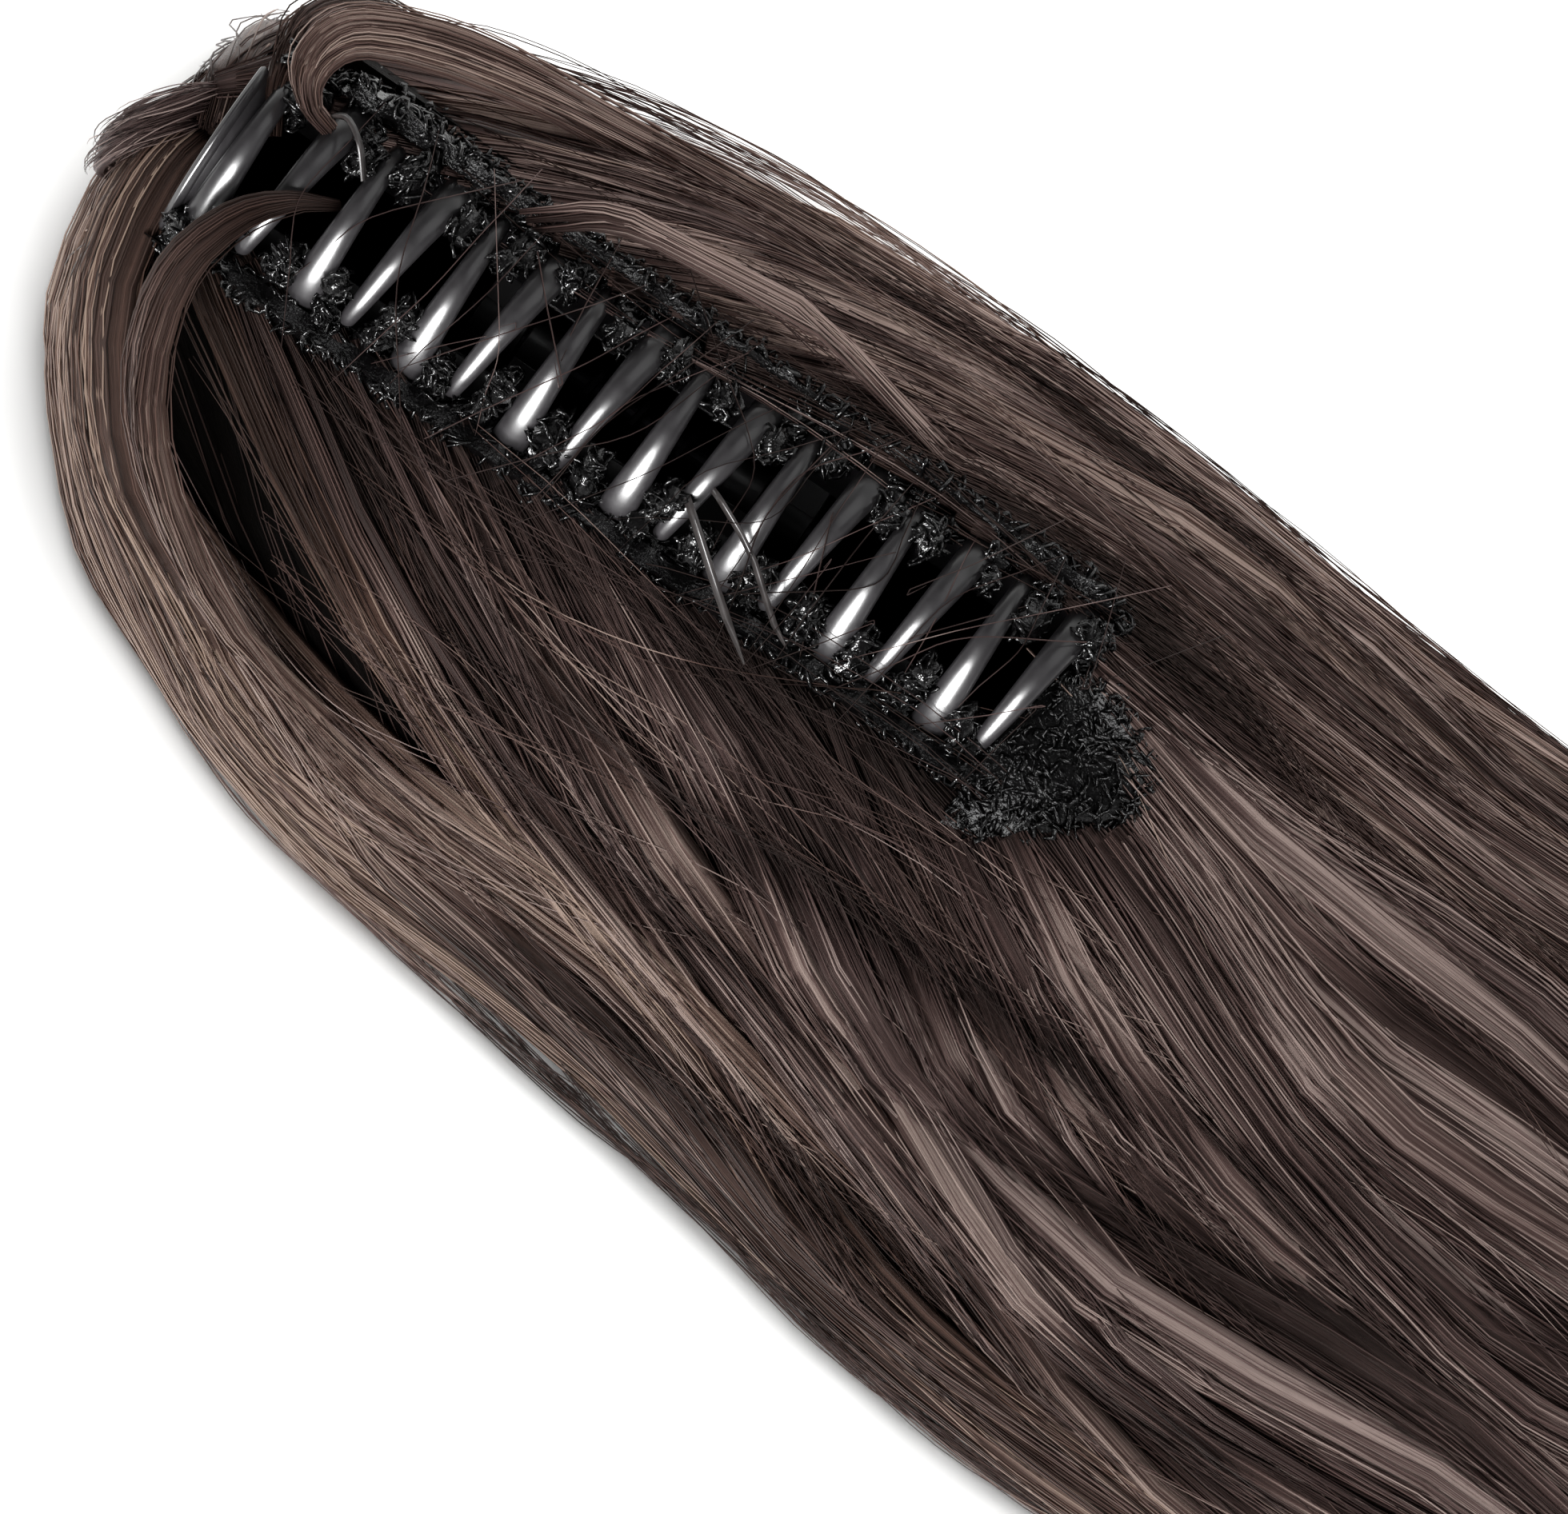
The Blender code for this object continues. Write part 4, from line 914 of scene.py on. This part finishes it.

# Left hair. It leaves the left weft all along the mouth at a slant, turns within a hand's breadth
# and lies over the left flank, cooler inside and a warmer brown at the outer edge. Its colour is
# painted darker inside, for the shade by the weft, and lighter and warmer outside, where light falls
# on the outer edge and through it.
left_inner, left_outer, left_under = [], [], []
for i in range(84):
    share = max(0.0, i + chance.uniform(-0.4, 0.4)) / 83
    wanders = i % 6 == 2
    start_y = 50 - 97 * share
    settled = -86 + 64 * share**0.7 + chance.gauss(0, 11 if wanders else 6)
    turn_length = (2.7 + chance.uniform(-0.7, 0.9)) * max(-settled - 12, 14)
    inset = chance.uniform(-0.6, 0.5) if wanders else chance.uniform(0.6, 3.8)
    stops = course(
        start_y, chance.uniform(-300, -274), -15.5 + chance.uniform(-1.5, 1), settled, turn_length,
        inset, 0.2 if wanders else 1.2,
    )
    outer = min(max((-settled - 62) / 28, 0.0), 1.0)
    # Painted light and shade: lighter towards the outer edge, where the light falls, and darker for locks
    # lying deeper under the others.
    tint = (0.65 + 1.5 * chance.random() ** 1.6) * (0.9 + 0.5 * outer)
    tint *= min(max(1.3 - 0.32 * inset, 0.1), 1.2)
    half_width = chance.uniform(0.6, 1.3) if wanders else chance.uniform(1.6, 4.4)
    rows = lock(
        stops, half_width, half_width * chance.uniform(0.35, 0.55), tint,
        min(1.0, 0.15 + 0.85 * outer + chance.uniform(-0.1, 0.1)),
        root_shade_share=0.1 + 0.3 * share, root_shade_length=70 - 34 * share,
    )
    (left_outer if settled < -58 else left_inner).append(rows)
# The locks under the flank are tinted darker, with bundles in the painted-shade fibre, for the shade beneath
# the hair.
for i in range(20):
    share = (i + chance.uniform(-0.4, 0.4)) / 19
    settled = -108 + 86 * share
    stops = course(
        48 - 92 * share, chance.uniform(-296, -250), -19, settled, 170 - 100 * share,
        chance.uniform(2.6, 4.2), 3.4,
    )
    left_under.append(lock(stops, 4.5, 1.2, chance.uniform(0.25, 0.9), 0.3))
pieces_left = [
    hair_piece("hair_left_inner", left_inner, 20, STRAND_RADIUS, 1.2, 0.6, 5, fibre),
    hair_piece("hair_left_outer", left_outer, 20, STRAND_RADIUS, 1.2, 0.6, 6, fibre),
    hair_piece("hair_left_under", left_under, 8, STRAND_RADIUS, 1.8, 0.55, 7, fibre),
    bundles_piece("locks_left_inner", left_inner, bundled),
    bundles_piece("locks_left_outer", left_outer, bundled),
    bundles_piece("locks_left_under", left_under, fibre_in_painted_shade),
]
for piece in pieces_left:
    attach(piece, "left_half")

# Tail hair. The first locks of the tail leave the lower edge of the end patch and fill the middle.
tail = []
for i in range(34):
    share = (i + chance.uniform(-0.4, 0.4)) / 33
    angle = -25 + 44 * share
    start_y = -45.5 - 13.5 * max(0.0, 1 - abs(2 * share - 1))
    inset = chance.uniform(0.0, 3.4)
    stops = course(
        start_y, chance.uniform(-302, -280), angle * 0.7, angle * 1.25 + chance.gauss(0, 3.5), 60, inset, 0.2,
    )
    half_width = chance.uniform(1.8, 3.6)
    # Painted shade: tail locks lying deeper under the others are coloured darker.
    tail.append(lock(
        stops, half_width, half_width * chance.uniform(0.4, 0.6),
        (0.55 + 1.2 * chance.random() ** 1.5) * max(1.3 - 0.34 * inset, 0.1), chance.uniform(0.0, 0.25),
        0.6, root_shade_share=0.9,
    ))
pieces_tail = [
    hair_piece("hair_tail_middle", tail, 22, STRAND_RADIUS, 1.2, 0.6, 8, fibre),
    bundles_piece("locks_tail_middle", tail, bundled),
]
for piece in pieces_tail:
    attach(piece, "left_half")

# Right hair. It leaves the right weft and the crown nearly along the claw, over the right flank,
# and swings with the right jaw as far as the tail.
right_top, right_side, right_under = [], [], []
for i in range(66):
    share = max(0.0, i + chance.uniform(-0.4, 0.4)) / 65
    wanders = i % 6 == 2
    settled = 92 - 62 * share**0.8 + chance.gauss(0, 9 if wanders else 4)
    inset = chance.uniform(0.2, 0.9) if wanders else chance.uniform(0.6, 3.2)
    stops = course(
        49 - 94 * share, chance.uniform(-300, -274), 19 + chance.uniform(-2, 2), settled,
        chance.uniform(70, 120), inset, 0.3,
    )
    half_width = chance.uniform(0.6, 1.2) if wanders else chance.uniform(1.8, 3.6)
    # Painted light and shade: the right hair is tinted lighter where the light falls on it, and locks lying
    # deeper under the others are coloured darker.
    rows = lock(
        stops, half_width, half_width * chance.uniform(0.3, 0.45),
        (0.8 + 1.4 * chance.random() ** 1.5) * max(1.3 - 0.34 * inset, 0.1), chance.uniform(0.1, 0.5),
        root_shade_share=0.6, root_shade_length=16,
    )
    (right_side if settled > 58 else right_top).append(rows)
for k in range(7):
    stops = course(-26 - 3 * k, chance.uniform(-296, -262), 27, 8 + 3.2 * k, 70, 0.4, 1.2)
    right_top.append(lock(
        stops, chance.uniform(0.9, 1.8), 0.7, chance.uniform(0.6, 1.5), chance.uniform(0.1, 0.4),
        root_shade_share=0.2, root_shade_length=20,
    ))
over_weft = [Vector(p) for p in (
    (8.6, 17.4, 44.6), (10.4, 15.0, 47.4), (12.4, 12.4, 48.6), (13.9, 8.6, 48.2), (14.8, 0.8, 46.2),
    (15.8, -10, 44.4),
)]
for k in range(3):
    stops = [p + Vector((0.4 * k, 0.9 * k, 0.2 * k)) for p in over_weft]
    stops += course(-24, -280, 26, 34 + 4 * k, 60, 0.4, 0.4)[::2]
    right_top.append(lock(stops, 0.9, 0.6, 1.3 + 0.3 * k, 0.2, 0.3, 0.14, 0.2, 24, count=GUIDE_POINTS + 6))
# The locks under the flank are tinted darker, with bundles in the painted-shade fibre, for the shade beneath
# the hair.
for i in range(14):
    share = (i + chance.uniform(-0.4, 0.4)) / 13
    stops = course(
        47 - 90 * share, chance.uniform(-296, -250), 26, 108 - 80 * share, 60,
        chance.uniform(2.6, 4.0), 3.4,
    )
    right_under.append(lock(stops, 4.0, 1.2, chance.uniform(0.25, 0.8), 0.3))
pieces_right = [
    hair_piece("hair_right_top", right_top, 20, STRAND_RADIUS, 1.2, 0.6, 12, fibre),
    hair_piece("hair_right_side", right_side, 18, STRAND_RADIUS, 1.2, 0.6, 13, fibre),
    hair_piece("hair_right_under", right_under, 6, STRAND_RADIUS * 1.2, 1.8, 0.55, 14, fibre),
    bundles_piece("locks_right_top", right_top, bundled),
    bundles_piece("locks_right_side", right_side, bundled),
    bundles_piece("locks_right_under", right_under, fibre_in_painted_shade),
]
for piece in pieces_right:
    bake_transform(piece)

# Crown hair. At the crown end the wefts' first hairs wrap over the end of the claw and down the
# back. On each side a thick lock loops over the first ribs, other locks come down over the end of
# the crown, and a short tuft of root ends stands behind.
CROWN_POINTS = 40
CROWN_INNER = (
    (2.5, 45.6, 30), (-4, 48.0, 38), (-15.0, 46.8, 37), (-24.0, 42.0, 34), (-30.6, 36.0, 31),
    (-34.6, 29.0, 29),
)
CROWN_OUTER = (
    (3.5, 49.0, 28), (-7, 51.6, 24), (-16.6, 50.8, 15), (-24.6, 48.4, 9), (-33.6, 41.0, 6.5),
    (-39.6, 33.6, 5.5),
)


def crown_stops(side, share):
    """Stops for a lock that crosses the crown end and settles low on one flank."""
    end = chance.uniform(-295, -262)
    if side < 0:
        settled = -61 - 33 * share
        arc = [Vector(one).lerp(Vector(other), share) for one, other in zip(CROWN_INNER, CROWN_OUTER)]
        return arc + course(24, end, settled, settled - 2, 40, 1.4, 1.0)[1::2]
    settled = 62 + 42 * share
    stops = [
        on_hair(45.6 + 1.2 * share, 6 * share, 3.4), on_hair(46.6 + 1.6 * share, 18 + 14 * share, 3.2),
        on_hair(45.8 + 2.0 * share, 42 + 20 * share, 3.2), on_hair(43.0 + 2.6 * share, 60 + 26 * share, 3.2),
        on_hair(39.5 + 2.5 * share, settled * 0.97, 3.2),
    ]
    return stops + course(34, end, settled, settled + 2, 40, 1.6, 1.6)[::2]


crown_left, crown_right = [], []
for i in range(38):
    share = (i + chance.uniform(-0.3, 0.3)) / 37
    half_width = chance.uniform(1.6, 3.0)
    crown_left.append(lock(
        crown_stops(-1, share), half_width, half_width * chance.uniform(0.35, 0.55),
        0.5 + 1.8 * chance.random() ** 1.5, chance.uniform(0.5, 0.95), 0.7, root_shade_share=0.3,
        root_shade_length=26, count=CROWN_POINTS,
    ))
    if i % 2:
        crown_right.append(lock(
            crown_stops(1, share), half_width, half_width * 0.45, 0.5 + 1.7 * chance.random() ** 1.5,
            chance.uniform(0.3, 0.7), 0.7, root_shade_share=0.25, root_shade_length=24, count=CROWN_POINTS,
        ))
loop_left = [Vector(p) for p in (
    (0.6, 33.2, 46.0), (-1.4, 36.6, 49.0), (-5.2, 40.0, 50.0), (-11.4, 42.0, 48.8), (-18.2, 41.0, 45.4),
    (-24.8, 37.4, 41.0), (-30.6, 31.0, 36.6), (-35.6, 22.0, 32.0),
)]
loop_right = [Vector(p) for p in (
    (5.2, 36.0, 44.0), (6.4, 40.2, 47.6), (9.6, 42.4, 49.0), (14.0, 40.9, 48.0), (17.2, 34.6, 45.0),
    (19.2, 26.0, 42.2),
)]
for k in range(5):
    shift = Vector((0.5 * k - 1.0, 0.6 * k - 1.3, 0.4 * (k % 2)))
    rest = course(10 - 2 * k, chance.uniform(-295, -270), -54 - 3 * k, -62 - 4 * k, 70, 0.4, 0.0)
    stops = [p + shift * min(1.0, 0.15 + 0.2 * j) for j, p in enumerate(loop_left)] + rest[1::3]
    crown_left.append(lock(
        stops, 1.7, 1.1, chance.uniform(0.8, 1.4), chance.uniform(0.4, 0.7), 0.14, 0.26, 0.05, 34,
        count=CROWN_POINTS,
    ))
    rest = course(18 - 2 * k, chance.uniform(-295, -270), 52 + 3 * k, 62 + 4 * k, 60, 0.8, 1.0)
    stops = [p + shift * min(1.0, 0.2 + 0.2 * j) for j, p in enumerate(loop_right)] + rest[1::3]
    crown_right.append(lock(
        stops, 1.3, 0.9, chance.uniform(1.0, 1.7), chance.uniform(0.3, 0.6), 0.4, 0.12, 0.5, 12,
        count=CROWN_POINTS,
    ))
for k in range(14):
    lean = (k + chance.uniform(-0.3, 0.3)) / 6.5 - 1
    top = Vector((-1 + 4 * lean, 47.6, 35.0))
    foot = Vector((-6 + 18 * lean, 53.6 - (5 * lean if lean > 0 else 6 * lean**2), 1.2))
    stops = [top.lerp(foot, share) for share in (0.0, 0.4, 0.75, 0.93, 1.0)]
    for stop, z in zip(stops, (35.0, 32.0, 22.0, 10.0, 1.2)):
        stop.z = z
    crown_left.append(lock(
        stops, chance.uniform(2.4, 3.2), 1.2, chance.uniform(0.5, 1.6), chance.uniform(0.4, 0.8), 0.6,
        root_shade_share=0.3, root_shade_length=16, count=14,
    ))
over_head = [Vector(p) for p in (
    (3.4, 42.2, 45.0), (6.6, 44.2, 44.6), (10.0, 45.0, 42.0), (13.2, 43.2, 37.6), (15.2, 39.0, 32.0),
)]
for k in range(5):
    shift = Vector((0.9 * k - 1.0, 0.2 * k - 0.6, -0.7 * k))
    rest = course(34 - k, chance.uniform(-295, -270), 66 + 3 * k, 70 + 4 * k, 60, 3.0, 3.4)
    crown_right.append(lock(
        [p + shift for p in over_head] + rest[1::3], 1.6, 1.0, chance.uniform(0.4, 1.0),
        chance.uniform(0.4, 0.7), 0.4, root_shade_share=0.3, root_shade_length=16, count=CROWN_POINTS,
    ))
for k in range(9):
    stops = course(
        40 - k, chance.uniform(-295, -270), -50 - 2 * k, -56 - 2.6 * k, 60, chance.uniform(0.4, 1.4), 1.8,
    )
    crown_left.append(lock(
        stops, chance.uniform(1.8, 2.6), 1.0, chance.uniform(0.6, 1.5), chance.uniform(0.4, 0.8), 0.5,
        root_shade_share=0.4, root_shade_length=24, count=CROWN_POINTS,
    ))
tuft = [Vector(p) for p in (
    (3, 47.0, 33), (-0.5, 50.0, 36), (-3.4, 52.2, 35.0), (-6.0, 53.6, 32), (-7.4, 54.0, 28.5),
    (-7.8, 52.8, 26),
)]
tufts = []
for k in range(3):
    stops = [p + Vector((1.2 * k - 1.2, 0.3 * k, 0.5 * k)) for p in tuft]
    tufts.append(lock(stops, 0.9, 0.7, 1.9, 0.0, 0.8, count=16))
for piece in (
    hair_piece("hair_crown_left", crown_left, 13, STRAND_RADIUS, 1.1, 0.65, 31, fibre),
    hair_piece("hair_crown_tuft", tufts, 45, STRAND_RADIUS * 0.7, 5.0, 0.45, 32, fibre),
    bundles_piece("locks_crown_left", crown_left + tufts, bundled),
):
    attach(piece, "left_half")
for piece in (
    hair_piece("hair_crown_right", crown_right, 13, STRAND_RADIUS, 1.1, 0.65, 33, fibre),
    bundles_piece("locks_crown_right", crown_right, bundled),
):
    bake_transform(piece)

# Stray hairs. Fine single hairs that have worked loose: they cross the mouth over the ribs, cut
# across the locks at a slant, and stand off the outline as flyaways and wisps.
def strays(count, low_y, high_y, low_angle, high_angle, reach, drift, lift):
    """Single hairs over the outside that wander off the way of the locks."""
    found = []
    for _ in range(count):
        y, angle = chance.uniform(low_y, high_y), chance.uniform(low_angle, high_angle)
        length, turn = chance.uniform(0.5, 1.0) * reach, chance.gauss(0, drift)
        rise = chance.uniform(0.2, 1.0) * lift
        stops = []
        for s in (0.0, 0.15, 0.3, 0.45, 0.6, 0.8, 1.0):
            wander = angle + turn * s + 4 * math.sin(5 * s + angle)
            stops.append(on_hair(y - length * s, wander, 0.6 - (0.6 + rise) * math.sin(math.pi * s**0.8)))
        found.append(lock(
            stops, 1.2, 0.3, chance.uniform(0.4, 1.6), chance.uniform(0.0, 0.6), root_shade_share=0.6, count=14,
        ))
    return found


mouth_hairs = []
for _ in range(40):
    y, lean = chance.uniform(-46, 44), chance.gauss(-8, 11)
    start = Vector((chance.uniform(-15, -9), y, chance.uniform(42, 45)))
    end = Vector((chance.uniform(9, 15), y + lean, chance.uniform(42, 45)))
    if chance.random() < 0.5:
        start, end = end, start
    middle = (start + end) / 2 + Vector((chance.uniform(-2, 2), chance.gauss(0, 3), chance.uniform(4.5, 6.5)))
    stop = start.lerp(middle, chance.uniform(0.85, 1.0)) if chance.random() < 0.3 else end
    stops = [
        start, start.lerp(middle, 0.5) + Vector((0, 0, 1.6)), middle,
        middle.lerp(stop, 0.5) + Vector((0, 0, 1.2)), stop,
    ]
    mouth_hairs.append(lock(stops, 0.3, 0.2, chance.uniform(0.1, 1.0), 0.0, root_shade_share=0.8, count=12))
piece = hair_piece("stray_hairs_mouth", mouth_hairs, 1, 0.07, 2.0, 0.9, 41, fibre)
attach(piece, "left_half")
THREAD_END_ROUTES = (
    ((-3.6, -8.0, 47.4), (-4.8, -9.6, 48.6), (-9.0, -15.0, 48.2), (-13.1, -20.6, 45.6)),
    ((-1.6, -9.4, 47.4), (-2.2, -10.9, 48.8), (-4.6, -15.8, 48.4), (-8.1, -20.2, 47.0), (-9.8, -23.0, 45.6)),
    ((3.6, 32.6, 47.6), (6.0, 34.6, 48.4), (7.4, 37.0, 47.2), (6.6, 38.6, 45.8)),
)
thread_ends = []
for route in THREAD_END_ROUTES:
    stops = [Vector(p) for p in route]
    thread_ends.append(lock(stops, 0.05, 0.05, 1.0, 0.0, 1.0, root_shade_share=1.0, count=12))

# The cut ends of the thread are heavier, and their colour is painted a lighter grey as a sheen, so
# they show as grey bars.
thread_end_sheen, tree, shader = new_finish("thread_end_painted_sheen")
shader.inputs["Specular IOR Level"].default_value = 0.6
place = node(tree, "ShaderNodeTexCoord").outputs["Object"]
sheen_mottle = node(tree, "ShaderNodeTexNoise", {"Vector": place, "Scale": 900.0, "Detail": 2.0})
tone = node(
    tree, "ShaderNodeMix", {0: sheen_mottle.outputs[0], 6: linear("#131111"), 7: linear("#3f3a39")}, data_type="RGBA",
)
gloss = node(tree, "ShaderNodeMapRange", {0: sheen_mottle.outputs[0], 3: 0.24, 4: 0.42})
feed(tree, shader, tone.outputs[2], gloss.outputs[0])
piece = hair_piece("weft_thread_ends", thread_ends, 1, 0.44, 0.1, 1.0, 44, thread_end_sheen)
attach(piece, "left_half")
left_strays = (
    strays(110, -60, 46, -70, -14, 95, 10, 0.8) + strays(80, -150, -30, -70, 20, 110, 10, 0.8)
    + strays(60, -90, 30, -97, -84, 90, 4, 1.6)
)
piece = hair_piece("stray_hairs_left", left_strays, 2, 0.06, 2.0, 0.7, 42, fibre)
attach(piece, "left_half")
right_strays = strays(70, -60, 46, 16, 70, 95, 8, 0.8) + strays(80, -110, 40, 72, 96, 80, 4, 1.4)
piece = hair_piece("stray_hairs_right", right_strays, 2, 0.06, 2.0, 0.7, 43, fibre)
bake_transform(piece)

# Floor and lights. A white table, a large softbox beyond the right jaw, and a long narrow one on the
# left that runs from low to high and draws the streaks down the ribs. The table has its own light,
# and the wefts with their thread have a softbox and a lamp that draw the glints on the stitches.
floor_shape = bmesh.new()
bmesh.ops.create_grid(floor_shape, x_segments=1, y_segments=1, size=4.0)
white_paper, tree, shader = new_finish("white_paper_sweep")
shader.inputs["Roughness"].default_value = 0.9
place = node(tree, "ShaderNodeTexCoord").outputs["Object"]
pulp = node(tree, "ShaderNodeTexNoise", {"Vector": place, "Scale": 3.0})
tone = node(
    tree, "ShaderNodeMix", {0: pulp.outputs[0], 6: linear("#f6f6f5"), 7: linear("#fbfbfa")}, data_type="RGBA",
)
feed(tree, shader, tone.outputs[2])
floor = piece_of("table", floor_shape, white_paper)

floor_only = bpy.data.collections.new("table only")
floor_only.objects.link(floor)
claw_only = bpy.data.collections.new("claw only")
all_but_claw = bpy.data.collections.new("all but the claw and the table")
wefts_only = bpy.data.collections.new("wefts only")
for name in ("weft_band_left", "weft_band_right", "weft_thread_ends"):
    wefts_only.objects.link(bpy.data.objects[name])
    all_but_claw.objects.link(bpy.data.objects[name])
for name in ("claw_jaw_left", "claw_jaw_right"):
    claw_only.objects.link(bpy.data.objects[name])
    all_but_claw.objects.link(bpy.data.objects[name])
all_but_claw.objects.link(floor)
for linked in all_but_claw.collection_objects:
    linked.light_linking.link_state = "EXCLUDE"

target = ORIGIN + Vector((0.0, -5.0, 40.0)) * MM
for name, kind, away, distance, across, tall, radiance, lit in (
    ("softbox_right", "AREA", Vector((0.72, -0.25, 0.65)), 1.0, 0.8, 0.8, 3.6, all_but_claw),
    ("softbox_claw", "AREA", Vector((0.72, -0.25, 0.65)), 1.0, 0.8, 0.8, 1.1, claw_only),
    ("softbox_wefts", "AREA", Vector((0.72, -0.25, 0.65)), 1.0, 0.8, 0.8, 1.3, wefts_only),
    ("glints_left", "AREA", Vector((-0.5, 0.3, 0.8)), 0.7, 0.14, 0.3, 70.0, wefts_only),
    ("strip_left", "AREA", Vector((-0.8, 0.0, 0.6)), 0.55, 0.32, 0.62, 70.0, claw_only),
    ("fill_left", "AREA", Vector((-0.8, 0.1, 0.7)), 0.8, 0.5, 0.6, 5.0, all_but_claw),
):
    light_data = bpy.data.lights.new(name, kind)
    light_data.shape = "RECTANGLE"
    light_data.size, light_data.size_y = across, tall
    light_data.energy = radiance * math.pi * across * tall
    light = bpy.data.objects.new(name, light_data)
    toward = away.normalized()
    light.location = target + toward * distance
    light.rotation_euler = toward.to_track_quat("Z", "Y").to_euler()
    light.visible_camera = False
    light.light_linking.receiver_collection = lit
    bpy.context.scene.collection.objects.link(light)

sun_data = bpy.data.lights.new("table_light", "SUN")
sun_data.energy = 5.0
sun_data.angle = math.radians(34)
sun = bpy.data.objects.new("table_light", sun_data)
sun.rotation_euler = Vector((0.24, -0.1, 1.0)).to_track_quat("Z", "Y").to_euler()
sun.light_linking.receiver_collection = floor_only
bpy.context.scene.collection.objects.link(sun)

world = bpy.data.worlds.new("studio")
world.use_nodes = True
tree = world.node_tree
sky = node(tree, "ShaderNodeTexCoord").outputs["Generated"]
high = node(tree, "ShaderNodeSeparateXYZ", {0: sky})
glow = node(tree, "ShaderNodeMapRange", {0: high.outputs[2], 1: 0.1, 2: 0.7, 3: 0.6, 4: 0.06})
tree.links.new(glow.outputs[0], tree.nodes["Background"].inputs["Strength"])
tree.nodes["Background"].inputs["Color"].default_value = (1.0, 1.0, 1.0, 1.0)
bpy.context.scene.world = world
bpy.context.scene.view_settings.view_transform = "Standard"
